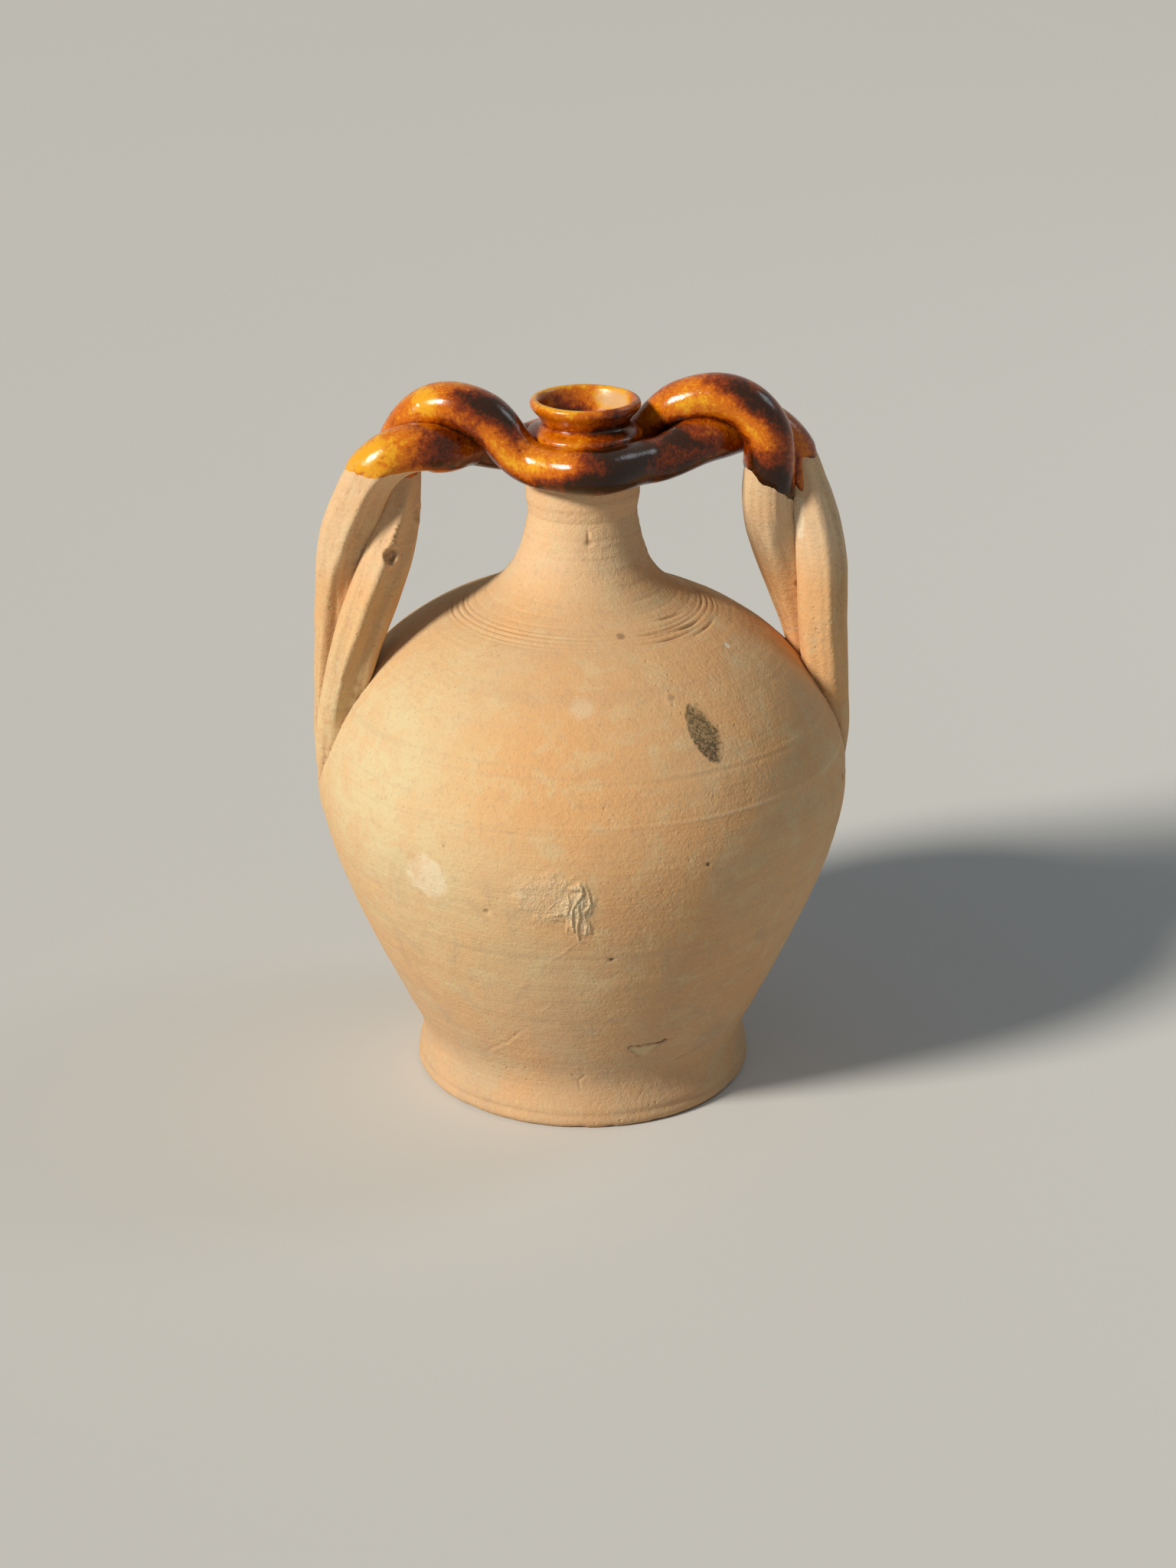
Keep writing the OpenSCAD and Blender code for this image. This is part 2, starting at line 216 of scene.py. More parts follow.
def waves(u, v, seed, wrap):
    """Smooth noise from -1 to 1: random heights on whole u and v, joined by smooth steps.
    It repeats after wrap units of u, so it closes round a ring."""
    heights = np.random.default_rng(seed).uniform(-1, 1, (wrap, WAVE_ROWS))
    u, v = np.broadcast_arrays(u, v)
    i, j = np.floor(u).astype(int), np.floor(v).astype(int)
    f, g = ramp(u - i, 0, 1), ramp(v - j, 0, 1)
    i, next_i, j, next_j = i % wrap, (i + 1) % wrap, j % WAVE_ROWS, (j + 1) % WAVE_ROWS
    low = heights[i, j] * (1 - f) + heights[next_i, j] * f
    high = heights[i, next_j] * (1 - f) + heights[next_i, next_j] * f
    return low * (1 - g) + high * g


# Meshes

SHARP_EDGE = math.radians(50)


def grid_faces(rows, columns, closed_rows):
    """Quads of a grid whose columns run round a ring, and whose rows may close on themselves."""
    i = np.arange(rows if closed_rows else rows - 1)[:, None]
    j = np.arange(columns)[None, :]
    next_i, next_j = (i + 1) % rows, (j + 1) % columns
    corners = np.broadcast_arrays(i * columns + j, i * columns + next_j,
                                  next_i * columns + next_j, next_i * columns + j)
    return np.stack([c.ravel() for c in corners], axis=1)


def make_piece(name, grid, nodes, material, ends=None, layers=None):
    """Puts a grid of points in millimetres into a mesh object that stands for CAD nodes.
    The rows close on themselves, unless ends gives the two points that close them like poles."""
    rows, columns, _ = grid.shape
    points = grid.reshape(-1, 3)
    faces = grid_faces(rows, columns, ends is None)
    corners, sizes = [faces.ravel()], [np.full(len(faces), 4)]
    if ends is not None:
        points = np.vstack([points, ends])
        j = np.arange(columns)
        next_j = (j + 1) % columns
        first, last = np.full(columns, rows * columns), np.full(columns, rows * columns + 1)
        top = (rows - 1) * columns
        corners += [np.stack([first, next_j, j], 1).ravel(),
                    np.stack([top + j, top + next_j, last], 1).ravel()]
        sizes += [np.full(2 * columns, 3)]
    corners, sizes = np.concatenate(corners), np.concatenate(sizes)
    mesh = bpy.data.meshes.new(name)
    mesh.vertices.add(len(points))
    mesh.vertices.foreach_set("co", (points * MM).astype(np.float32).ravel())
    mesh.loops.add(len(corners))
    mesh.loops.foreach_set("vertex_index", corners.astype(np.int32))
    mesh.polygons.add(len(sizes))
    mesh.polygons.foreach_set("loop_start", np.r_[0, np.cumsum(sizes)[:-1]].astype(np.int32))
    mesh.polygons.foreach_set("use_smooth", np.ones(len(sizes), bool))
    for layer, values in (layers or {}).items():
        values = np.r_[values.ravel(), np.zeros(len(points) - values.size)]
        mesh.attributes.new(layer, "FLOAT", "POINT").data.foreach_set("value", values.astype(np.float32))
    mesh.update(calc_edges=True)
    mesh.validate()
    mesh.set_sharp_from_angle(angle=SHARP_EDGE)
    mesh.materials.append(material)
    piece = bpy.data.objects.new(name, mesh)
    bpy.context.scene.collection.objects.link(piece)
    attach(piece, BODY)
    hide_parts(*nodes)


# The vessel's outline

def vessel_lines(v):
    """Lines of the vessel as [radius, height], upward from the foot and over the lip into the throat:
    a bevelled foot band, a hollow, a belly, a quarter ellipse, a concave neck and a moulded mouth."""
    waist = v.foot_radius - v.waist_depth
    bevel = np.array([[v.foot_radius - 1.8, 0], [v.foot_radius - 0.9, 0.6], [v.foot_radius - 0.3, 1.8]])
    foot = cubic(bevel[-1], [v.foot_radius + 1, 8], [waist, v.waist_height - 7], [waist, v.waist_height])
    slope = np.array([0.48, 1])
    fillet_top = np.array([waist + 5.6, v.waist_height + 16])
    fillet = cubic(foot[-1], [waist, v.waist_height + 6], fillet_top - 5 * slope, fillet_top)
    rise = v.belly_height - fillet_top[1]
    belly = cubic(fillet_top, fillet_top + 0.33 * rise * slope,
                  [v.belly_radius, v.belly_height - 0.26 * rise], [v.belly_radius, v.belly_height])
    turn = np.linspace(0, math.acos(v.skirt_radius / v.belly_radius), 120)
    shoulder = np.stack([v.belly_radius * np.cos(turn),
                         v.belly_height + v.shoulder_rise * np.sin(turn)], axis=1)
    skirt = shoulder[-1]
    along = unit(np.array([-v.belly_radius * math.sin(turn[-1]), v.shoulder_rise * math.cos(turn[-1])]))
    neck_rise = v.seam_height - skirt[1]
    neck = cubic(skirt, skirt + 0.66 * (v.skirt_radius - v.neck_radius) * along,
                 [v.neck_radius + 2.6, v.seam_height - 0.62 * neck_rise],
                 [v.neck_radius, v.seam_height], 120)
    top, lip = v.rim_height, v.lip_radius
    collar_top = [v.neck_radius + 1, top - 28]
    below = [v.neck_radius + 0.15, v.seam_height - 7]
    collar = run_through([below, neck[-1], [v.neck_radius + 0.9, top - 35], collar_top])[12:]
    mouth = run_through([collar_top, [v.neck_radius - 0.6, top - 20.5], [lip + 0.2, top - 16.2],
                         [lip + 0.8, top - 13.8], [lip + 0.9, top - 12.4], [lip + 0.1, top - 11.4],
                         [lip - 2.6, top - 10.3], [lip - 4.2, top - 8.9], [lip - 3.9, top - 7],
                         [lip - 2.5, top - 4.9], [lip - 0.8, top - 3.1], [lip - 0.1, top - 1.7],
                         [lip - 0.4, top - 0.5], [lip - 1.3, top]])
    throat = run_through([[lip - 1.3, top], [lip - 2.2, top - 0.5], [lip - 3.1, top - 2.4],
                          [lip - 4.6, top - 7], [v.bore_radius + 1.2, top - 14]])
    lower = np.vstack([bevel, foot[1:], fillet[1:], belly[1:]])
    outer = np.vstack([lower, shoulder[1:], neck[1:], collar[1:], mouth[1:]])
    return SimpleNamespace(lower=lower, shoulder=shoulder, neck=neck, collar=collar, mouth=mouth,
                           throat=throat, outer=outer, way=travel(outer), skirt_along=along,
                           neck_rise=neck_rise)


def outer_radius(lines, height):
    """Radius of the vessel's outer surface at a height."""
    return np.interp(height, lines.outer[:, 1], lines.outer[:, 0])


# Marks in the clay: angle about Z in degrees, height, half width, half height, depth in millimetres and
# tilt in degrees. A negative depth is a raised bit.
MARKS = (
    (-117.7, 104.2, 0.9, 1.2, 0.80, 25), (-90.6, 84.6, 1.2, 0.7, 0.60, 0),
    (-71.3, 176.7, 1.4, 1.2, -0.40, 0),
    (-91.2, 223.4, 0.7, 2.2, 0.50, 6), (-91.6, 220.6, 1.5, 0.9, 0.55, 0),
    (-19.0, 128.0, 2.2, 0.7, 0.45, 18), (-70.6, 122.0, 0.9, 0.6, 0.45, 10),
    (-127.0, 128.0, 1.6, 0.4, 0.35, -30), (-112.0, 70.0, 2.6, 0.6, -0.25, 30),
    (62.0, 84.0, 1.2, 3.2, 0.35, 15), (104.0, 136.0, 1.8, 0.8, 0.35, -8), (78.0, 58.0, 0.9, 2.8, 0.30, 30),
    (128.0, 100.0, 1.0, 1.2, 0.50, 0), (41.0, 150.0, 1.4, 1.0, -0.35, 0),
)
# Strokes along the clay: half width and height, then the places that they run through. A negative height
# is a cut.
STROKES = (
    (0.42, 0.70, (-97.8, 118.9), (-97.0, 115.7), (-98.1, 112.3), (-99.2, 109.3), (-99.5, 104.6),
     (-99.0, 98.5)),
    (0.40, 0.60, (-96.7, 118.9), (-95.9, 115.1), (-95.5, 110.5), (-96.7, 107.0)),
    (0.40, 0.55, (-98.1, 110.5), (-97.8, 105.8), (-98.4, 100.3), (-98.0, 95.0)),
    (0.36, 0.45, (-95.9, 103.4), (-95.4, 97.8)),
    (0.40, 0.45, (-100.3, 115.0), (-99.7, 110.5), (-100.6, 105.7)),
    (0.45, 0.50, (-104.0, 105.4), (-101.5, 106.3)),
    (0.45, 0.42, (-103.7, 104.3), (-101.2, 103.3)),
    (0.36, 0.40, (-96.9, 106.5), (-96.2, 101.0), (-96.6, 96.8)),
    (0.36, 0.35, (-100.2, 104.0), (-100.4, 98.6)),
    (0.42, 0.20, (-99.6, 91.5), (-101.3, 88.0), (-104.1, 84.9)),
    (0.40, 0.20, (-107.7, 57.7), (-105.0, 61.7)),
    (0.36, -0.30, (-129.8, 29.2), (-127.3, 31.9), (-125.4, 34.1), (-124.3, 33.9), (-122.3, 37.6),
     (-121.1, 36.7), (-119.3, 39.6), (-117.2, 42.4), (-114.9, 45.7)),
    (0.36, 0.10, (-129.0, 27.6), (-126.6, 30.4), (-124.4, 32.4), (-121.6, 35.2), (-118.6, 38.4),
     (-116.4, 41.6)),
    (0.45, -0.28, (-100.6, 23.1), (-98.5, 20.4), (-96.5, 22.8)),
    (0.45, -0.22, (-98.5, 20.4), (-98.0, 17.2)),
    (0.50, -0.50, (-64.5, 25.5), (-60.0, 26.4), (-53.4, 29.4)),
    (0.60, -0.35, (70.0, 60.0), (78.0, 72.0), (80.0, 90.0)),
)
# Places with ragged clay: angle, height, half width, half height and depth.
SCAR = (-97.8, 107.5, 5.2, 12.0, 0.22)
SMEAR = (-104.5, 112.5, 13.5, 11.0, 0.19)
# A flake broken out above the foot: its middle, and its corners across and up from there in millimetres.
FLAKE = (-77.0, 36.6)
FLAKE_CORNERS = ((-9.5, 1.2), (-2.0, -5.4), (2.0, -3.0), (7.8, 2.0))
FLAKE_DEPTH = 1.6
# Its upper edge: height over the middle, and slope. The clay has a painted shadow for so far under it, from
# and to, and for so much further with each millimetre to the right.
FLAKE_EDGE = (1.6, 0.046)
FLAKE_SHADE = (0.9, 1.9, 0.09)
# Rings turned at the foot of the neck: radius, half width and depth.
RINGS = ((51.6, 0.40, 0.22), (49.8, 0.45, 0.50), (47.6, 0.40, 0.42), (45.4, 0.45, 0.55), (43.6, 0.40, 0.28),
         (40.8, 0.45, 0.20), (36.4, 0.5, 0.12), (32.0, 0.5, 0.14), (27.6, 0.5, 0.12))
# Arcs cut deeper at the right: middle angle, half sweep in degrees, radius, rise over the sweep, depth.
ARCS = ((-50.0, 17.0, 47.2, 1.2, 0.75), (-36.0, 13.0, 52.0, -0.8, 0.55), (-44.0, 9.0, 41.5, 0.6, 0.60),
        (-60.0, 14.0, 50.2, 0.8, 0.45))
ARC_HALF_WIDTH = 0.5
# Heights between which the rings and arcs set in, and between which the neck's closer ridges do.
RINGS_FROM = (176, 182)
NECK_FROM = (196, 206)
# Two raised lines round the belly. The upper one lies askew: its mean height, how far it tilts, and the
# angle at which it is highest.
LOWER_LINE = 139.2
UPPER_LINE = (151.5, 3, math.radians(-72))


def surface_offsets(lines, angle, height, mark_angle, mark_height, tilt=0):
    """Distances across and along the surface from a mark, turned by its tilt."""
    radius = outer_radius(lines, height)
    way = np.interp(height, lines.outer[:, 1], lines.way)
    mark_way = np.interp(mark_height, lines.outer[:, 1], lines.way)
    across = radius * ((angle - math.radians(mark_angle) + math.pi) % TURN - math.pi)
    along = way - mark_way
    c, s = math.cos(math.radians(tilt)), math.sin(math.radians(tilt))
    return c * across + s * along, c * along - s * across


def from_stroke(lines, angle, height, start, stop):
    """Distance along the surface from the straight stroke between two places."""
    across, along = surface_offsets(lines, angle, height, *start)
    long, up = surface_offsets(lines, math.radians(stop[0]), stop[1], *start)
    share = np.clip((across * long + along * up) / (long ** 2 + up ** 2), 0, 1)
    return np.hypot(across - share * long, along - share * up)


def oval(lines, angle, height, place, ragged):
    """Distance from the middle of an oval place on the surface, as a share of its half size, and ragged."""
    across, along = surface_offsets(lines, angle, height, *place[:2])
    return np.hypot(across / place[2], along / place[3]) + ragged


def broken_out(across, along, corners, ragged):
    """How far inside a ring of corners a point lies: its least distance from the straight edges, which
    turn to the left all the way round."""
    inside = np.full_like(across + along, np.inf)
    for (x0, y0), (x1, y1) in zip(corners, corners[1:] + corners[:1]):
        size = math.hypot(x1 - x0, y1 - y0)
        inside = np.minimum(inside, ((x1 - x0) * (along - y0) - (y1 - y0) * (across - x0)) / size)
    return inside + ragged


def wheel_marks(angle, height, radius, way):
    """Relief that the wheel left: a slow wobble that fades at the handles, faint turning ridges, a fine skin
    away from the neck, closer ridges up the neck, and the two raised lines. With it come the crest and the
    trough of the upper line."""
    ring = angle / TURN
    wobble = 0.45 * np.sin(angle) ** 2 * np.sin(way / 38 + 0.8) * np.cos(angle + way / 90)
    ridges = 0.05 * waves(ring * 5, way / 1.9, 11, 5) + 0.09 * waves(ring * 4, way / 6, 12, 4)
    skin = 0.05 * waves(ring * 90, way / 5, 13, 90) + 0.025 * waves(ring * 200, way / 2.4, 15, 200)
    neck = 0.10 * ramp(height, *NECK_FROM) * waves(ring * 3, way / 1.5, 21, 3)
    line_height, tilt, highest = UPPER_LINE
    over_line = height - line_height - tilt * np.cos(angle - highest)
    crest, trough = bell(over_line / 0.5), bell((over_line + 1.2) / 0.6)
    relief = wobble + ridges + skin * ramp(radius, 30, 60) + neck
    relief = relief + 0.22 * bell((height - LOWER_LINE) / 0.7) + 0.14 * crest - 0.10 * trough
    return relief, crest, trough


def cut_marks(lines, angle, height, radius, worn):
    """Depth of what is cut or pressed into the clay. Rings and arcs at the neck's foot are bells of the
    radius, marks are bells both ways along the surface, and strokes are bells of the distance from them."""
    near_neck = ramp(height, *RINGS_FROM)
    drift = 0.35 * np.sin(angle * 2 + 0.6)
    cuts = np.zeros_like(height + angle)
    for ring_radius, half_width, depth in RINGS:
        cuts = cuts + near_neck * depth * worn * bell((radius + drift - ring_radius) / half_width)
    for middle, sweep, arc_radius, rise, depth in ARCS:
        share = ((np.degrees(angle) - middle + 180) % 360 - 180) / sweep
        from_arc = (radius - arc_radius - rise * share) / ARC_HALF_WIDTH
        cuts = cuts + near_neck * depth * bell(share ** 2) * bell(from_arc)
    for mark_angle, mark_height, half_width, half_height, depth, tilt in MARKS:
        across, along = surface_offsets(lines, angle, height, mark_angle, mark_height, tilt)
        cuts = cuts + depth * bell(across / half_width) * bell(along / half_height)
    for half_width, tall, *places in STROKES:
        far = np.min([from_stroke(lines, angle, height, *pair) for pair in zip(places, places[1:])], axis=0)
        cuts = cuts - tall * bell(far / half_width)
    return cuts


def torn_clay(lines, angle, height, way, ragged):
    """Relief, tone and tornness of the scar, which is noise in upright ridges, and of the thin smear beside
    it. Both fade out over the ragged edge of an oval."""
    ring = angle / TURN
    far = oval(lines, angle, height, SCAR, ragged)
    upright = waves(ring * 300, way / 6.5, 17, 300) + 0.6 * waves(ring * 250, way / 2.6, 18, 250)
    scar = ramp(far, 1.15, 0.45) * upright
    torn = ramp(far, 1.2, 0.5)
    smeared = ramp(oval(lines, angle, height, SMEAR, 0.6 * ragged), 1.15, 0.60)
    smear = smeared * (1 + 0.8 * waves(ring * 190, way / 2.6, 19, 190))
    return SCAR[4] * scar + SMEAR[4] * smear, 0.25 * scar + 0.12 * smear, torn + 0.55 * smeared


def flaked_clay(lines, angle, height, ragged):
    """Relief and tone of the flake: a ragged pit that is deepest under its upper edge, with a painted shadow
    there and a paler floor below.
    """
    across, along = surface_offsets(lines, angle, height, *FLAKE)
    inside = broken_out(across, along, FLAKE_CORNERS, 2.8 * ragged)
    under_edge = FLAKE_EDGE[0] + FLAKE_EDGE[1] * across - along + 3 * ragged
    shade_from, shade_to, wider = FLAKE_SHADE
    # Painted shadow under the flake's upper edge.
    shadowed = ramp(under_edge, shade_to + wider * across, shade_from + wider * across)
    depth = ramp(inside, -0.2, 0.4) * FLAKE_DEPTH * (0.3 + 0.7 * shadowed)
    return -depth, ramp(inside, -0.1, 0.4) * (0.60 - 2.4 * shadowed)


def foot_edge(angle, height, worn):
    """Relief of the foot's rolled edge: a bell, a groove over it, and crumbs broken off below."""
    crumbs = np.clip(waves(angle / TURN * 70, 0 * angle, 20, 70) - 0.35, 0, 1)
    rolled = 0.45 * bell((height - 2.4) / 1.6) - 0.55 * bell((height - 5.4) / 1.0) * worn
    return rolled - 0.7 * crumbs * ramp(height, 3.2, 0.4)


def clay_relief(lines, angle, height, radius):
    """How far the clay stands out from the plain outline, in millimetres: the wheel's marks less the cuts,
    with the torn clay, the flake and the foot's edge. With it come the clay's tone and how torn it is. The
    tone is below zero for painted shade in the cuts, in the trough under the upper line and under the
    flake's upper edge, and where the scar's valleys are darker; it is above zero for a painted highlight on
    the upper line's crest, and it is paler on raised marks and on the scar's ridges, the smear and the
    flake's floor."""
    way = np.interp(height, lines.outer[:, 1], lines.way)
    ring = angle / TURN
    worn = 0.75 + 0.5 * waves(ring * 14, 0 * angle, 16, 14)
    ragged = 0.30 * waves(ring * 240, way / 2.2, 14, 240)
    wheel, crest, trough = wheel_marks(angle, height, radius, way)
    cuts = cut_marks(lines, angle, height, radius, worn)
    torn_relief, torn_tone, torn = torn_clay(lines, angle, height, way, ragged)
    flake_relief, flake_tone = flaked_clay(lines, angle, height, ragged)
    relief = wheel - cuts + torn_relief + flake_relief + foot_edge(angle, height, worn)
    # Tone: a painted highlight on the upper line's crest and painted shade in its trough, painted shade in
    # the cuts, paler on raised marks.
    tone = 0.24 * worn * crest - 0.12 * worn * trough - 0.6 * cuts + torn_tone + flake_tone
    return relief, tone, torn


# The angle of the front, and how far the lines of the mesh crowd together there.
FRONT = math.radians(-97)
CROWDING = 0.7


def ring_angles(columns):
    """Angles round the vase, more than three times as close together at the front as on average."""
    turn = np.arange(columns) * TURN / columns
    return turn - CROWDING * np.sin(turn - FRONT)


def turned(line, angles, push=None):
    """The surface that a [radius, height] line sweeps about Z: radius times the cosine and the sine of the
    angle, and the height, pushed along the line's normal."""
    radius, height = line[:, :1], line[:, 1:]
    if push is not None:
        normal = sideways(line)
        radius, height = radius + push * normal[:, :1], height + push * normal[:, 1:]
    radius, height, angles = np.broadcast_arrays(radius, height, angles[None, :])
    return np.stack([radius * np.cos(angles), radius * np.sin(angles), height], axis=-1)


# How far the mouth was set on to the right of the axis, and the heights between which it moves over.
ASIDE = 1.1
ASIDE_FROM = (246, 262)


def set_on(points):
    """The points of the mouth, which was set on a little to the right of the axis."""
    aside = ASIDE * ramp(points[..., 2], *ASIDE_FROM)
    return points + np.stack([aside, 0 * aside, 0 * aside], axis=-1)


def seam(point, along, out, thick, lap, gap):
    """Corners of a rebated seam across the wall at an outer point: the tongue of the section below,
    outermost first, and the socket of the section above, innermost first."""
    point, along, out = (np.asarray(p, float) for p in (point, along, out))
    middle = point - (thick / 2 + gap) * out
    tongue = np.array([middle, middle + (lap - gap) * along, point - thick * out + (lap - gap) * along])
    inner = point - thick * out + lap * along
    socket = np.array([inner, point - thick / 2 * out + lap * along, point - thick / 2 * out])
    return tongue, socket


# Steps between the rows of the thrown sections, outside and inside.
OUTSIDE_STEPS = {"lower_body": 0.65, "upper_body": 0.6, "neck": 0.4, "mouth": 0.6}
INSIDE_STEPS = {"lower_body": 8, "upper_body": 5}
# Radius of the innermost row of the vessel's floor.
FLOOR_RING = 8


def section_lines(v, lines):
    """Closed [radius, height] outlines of the four thrown sections, each as its outer line and the rest:
    the inner wall is the outer line moved in by the wall, and the seams are rebates."""
    up, out = [0, 1], [1, 0]
    belly_tongue, belly_socket = seam(lines.shoulder[0], up, out, v.wall, v.lap, v.seam_gap)
    skirt_out = np.array([lines.skirt_along[1], -lines.skirt_along[0]])
    skirt_tongue, skirt_socket = seam(lines.shoulder[-1], lines.skirt_along, skirt_out, v.wall, v.lap,
                                      v.seam_gap)
    neck_wall = v.neck_radius - v.bore_radius
    neck_tongue, neck_socket = seam(lines.neck[-1], up, out, neck_wall, v.lap, v.seam_gap)

    inside = (lines.lower - v.wall * sideways(lines.lower))[::-1]
    inside = inside[(inside[:, 1] > v.base + 9) & (inside[:, 1] < v.belly_height - 1)]
    corner = cubic(inside[-1], inside[-1] - [1.5, 7], [v.foot_radius - v.wall - 4, v.base],
                   [v.foot_radius - v.wall - 14, v.base], 8)
    inside = evenly(inside, INSIDE_STEPS["lower_body"])
    lower_rest = np.vstack([belly_tongue, inside, corner[1:], [[FLOOR_RING, v.base]]])

    inside = (lines.shoulder - v.wall * sideways(lines.shoulder))[::-1]
    inside = inside[(inside[:, 1] > v.belly_height + v.lap + 1.5) & (inside[:, 0] > v.skirt_radius + 2)]
    upper_rest = np.vstack([skirt_tongue, evenly(inside, INSIDE_STEPS["upper_body"]), belly_socket])

    start, base = skirt_socket[0], lines.shoulder[-1][1]
    bore = cubic(start, start + 0.5 * (v.skirt_radius - v.bore_radius) * lines.skirt_along,
                 [v.bore_radius, base + 0.21 * lines.neck_rise],
                 [v.bore_radius, base + 0.53 * lines.neck_rise], 14)[::-1]
    neck_rest = np.vstack([neck_tongue, bore[:-1], skirt_socket])

    mouth_outer = np.vstack([lines.collar, lines.mouth[1:], lines.throat[1:]])
    mouth_rest = np.vstack([[[v.bore_radius, v.rim_height - 20]], neck_socket])
    sections = {"lower_body": (lines.lower, lower_rest), "upper_body": (lines.shoulder, upper_rest),
                "neck": (lines.neck, neck_rest), "mouth": (mouth_outer, mouth_rest)}
    return {name: (evenly(outer, OUTSIDE_STEPS[name]), rest) for name, (outer, rest) in sections.items()}


# Heights between which the mouth's own relief ends, under the glaze, and radii of the rows of the underside.
RELIEF_ENDS = (240, 236)
UNDERSIDE = (12, 35, 58)


def thrown_section(name, outer, rest, lines, columns, material):
    """One thrown section: its outer line has the clay's relief, and the rest is turned plain."""
    angles = ring_angles(columns)
    push, tone, torn = clay_relief(lines, angles[None, :], outer[:, 1:], outer[:, :1])
    if name == "mouth":
        push, tone = (layer * ramp(outer[:, 1:], *RELIEF_ENDS) for layer in (push, tone))
    grid = np.concatenate([turned(outer, angles, push), turned(rest, angles)])
    first, ends = 0, None
    if name == "mouth":
        grid = set_on(grid)
    if name == "lower_body":
        under = np.array([[radius, 0] for radius in UNDERSIDE], float)
        grid = np.concatenate([turned(under, angles), grid])
        grid[..., 2] = np.maximum(grid[..., 2], 0)
        first, ends = len(under), np.array([[0, 0, 0], [0, 0, rest[-1, 1]]])
    layers = {kind: np.zeros(grid.shape[:2]) for kind in ("tone", "torn")}
    for kind, values in (("tone", tone), ("torn", torn)):
        layers[kind][first:first + len(outer)] = values
    make_piece(name + "_clay", grid, [name], material, ends, layers)


# The coils

def handle_stations(v, c):
    """Stations of the handle pair from the front of the neck to a root, one row each: distance from the
    axis, height, half spacing of the two coils, share of the twist, and coil radius."""
    r = c.thickness / 2
    root = v.belly_height - 3
    leg = c.arch_height - root
    seat = v.neck_radius + r - 2.5
    reach = v.belly_radius
    return np.array([
        [0, c.wrap_height, seat, 0, r - 1],
        [0.227 * reach, c.wrap_height + 0.5, 0.47 * seat, 0.015, r - 0.9],
        [0.400 * reach, c.arch_height - 2.4, r - 1.0, 0.155, r + 0.1],
        [0.545 * reach, c.arch_height - 0.6, r - 1.2, 0.315, r],
        [0.663 * reach, root + 0.960 * leg, r - 1.0, 0.480, r + 0.2],
        [0.730 * reach, root + 0.880 * leg, r - 0.5, 0.605, r + 0.8],
        [0.767 * reach, root + 0.765 * leg, r - 0.5, 0.705, r + 1.3],
        [0.822 * reach, root + 0.620 * leg, r - 0.6, 0.825, r + 1.2],
        [0.875 * reach, root + 0.440 * leg, r - 1.3, 0.935, r + 0.8],
        [0.914 * reach, root + 0.270 * leg, r - 1.0, 0.985, r],
        [0.945 * reach, root + 0.130 * leg, r - 1.7, 1, r - 1.6],
        [0.953 * reach, root + 0.010 * leg, r - 3.0, 1, r - 4.2],
        [0.935 * reach, root - 0.070 * leg, r - 4.0, 1, r - 5.5],
    ])


# What the left handle adds to the stations: its arch turns down sooner.
LEFT_ARCH = np.zeros((13, 5))
LEFT_ARCH[2:7] = [[0, 0.6, 0, 0.005, 0], [-1.2, -1.0, 0, 0.025, 0], [-1.6, -1.2, -0.4, 0.020, 0],
                  [-0.4, -0.4, 0, 0.005, 0], [0.4, 0, 0, 0, 0]]


# Samples of a coil's path, from root to root.
PATH_SAMPLES = 4001


def coil_path(coil, right, left, twist):
    """A whole coil, finely sampled from its left root to its right root.
    The pair's middle runs through the stations in the plane of the handles. The coil lies half the
    spacing to one side of it, in a direction that starts at the front and turns by the twist."""
    odd = np.array([-1, 1, 1, -1, 1])
    stations = np.vstack([left[:0:-1] * odd, right])
    reach = len(right) - 1
    s = np.linspace(-reach, reach, PATH_SAMPLES)
    x, z, spacing, share, radius = through(stations, s + reach).T
    zero = np.zeros_like(x)
    middle = np.stack([x, zero, z], axis=1)
    along = unit(np.gradient(middle, axis=0))
    normal = np.stack([-along[:, 2], zero, along[:, 0]], axis=1)
    turn = (twist * share)[:, None]
    apart = -np.sin(turn) * normal - np.cos(turn) * np.array([0, 1, 0])
    centre = middle + spacing[:, None] * apart
    forward = unit(np.gradient(centre, axis=0))
    rise = unit(normal - np.sum(normal * forward, axis=1, keepdims=True) * forward)
    side = np.cross(forward, rise)
    return SimpleNamespace(coil=coil, s=s, radius=radius, way=travel(centre), middle=middle, apart=apart,
                           centre=centre, rise=rise, side=side)


def path_at(path, s):
    """The coil's path at any array of s, by straight lines between its fine samples."""
    def pick(column):
        return np.interp(s, path.s, column)

    def vectors(columns):
        return np.stack([pick(column) for column in columns.T], axis=-1)
    return SimpleNamespace(radius=pick(path.radius), way=pick(path.way), middle=vectors(path.middle),
                           apart=vectors(path.apart), centre=vectors(path.centre),
                           rise=vectors(path.rise), side=vectors(path.side))


# Ridges that the fingers left along the legs, by coil: stations along the coil, the turn round it there, the
# side that is hollow, and height.
RIDGES = {
    "front": (((-9.2, -8.4, -7.9, -7.4, -6.8, -6.2, -5.4), (0.18, 0.19, 0.21, 0.21, 0.23, 0.26, 0.30),
               1, 1.8),
              ((5.2, 6.4, 7.6, 9.0), (0.20, 0.24, 0.24, 0.22), -1, 0.6)),
    "back": (((4.7, 5.6, 6.6, 7.6, 8.4, 9.4), (0.74, 0.76, 0.78, 0.85, 0.88, 0.90), -1, 1.5),
             ((-9.0, -7.6, -6.2), (0.62, 0.66, 0.70), 1, 0.6)),
}
# Half width of a ridge, and place and half width of the hollow beside it, as shares of a turn.
RIDGE_WIDTH = 0.035
HOLLOW_BESIDE = 0.10
HOLLOW_WIDTH = 0.065
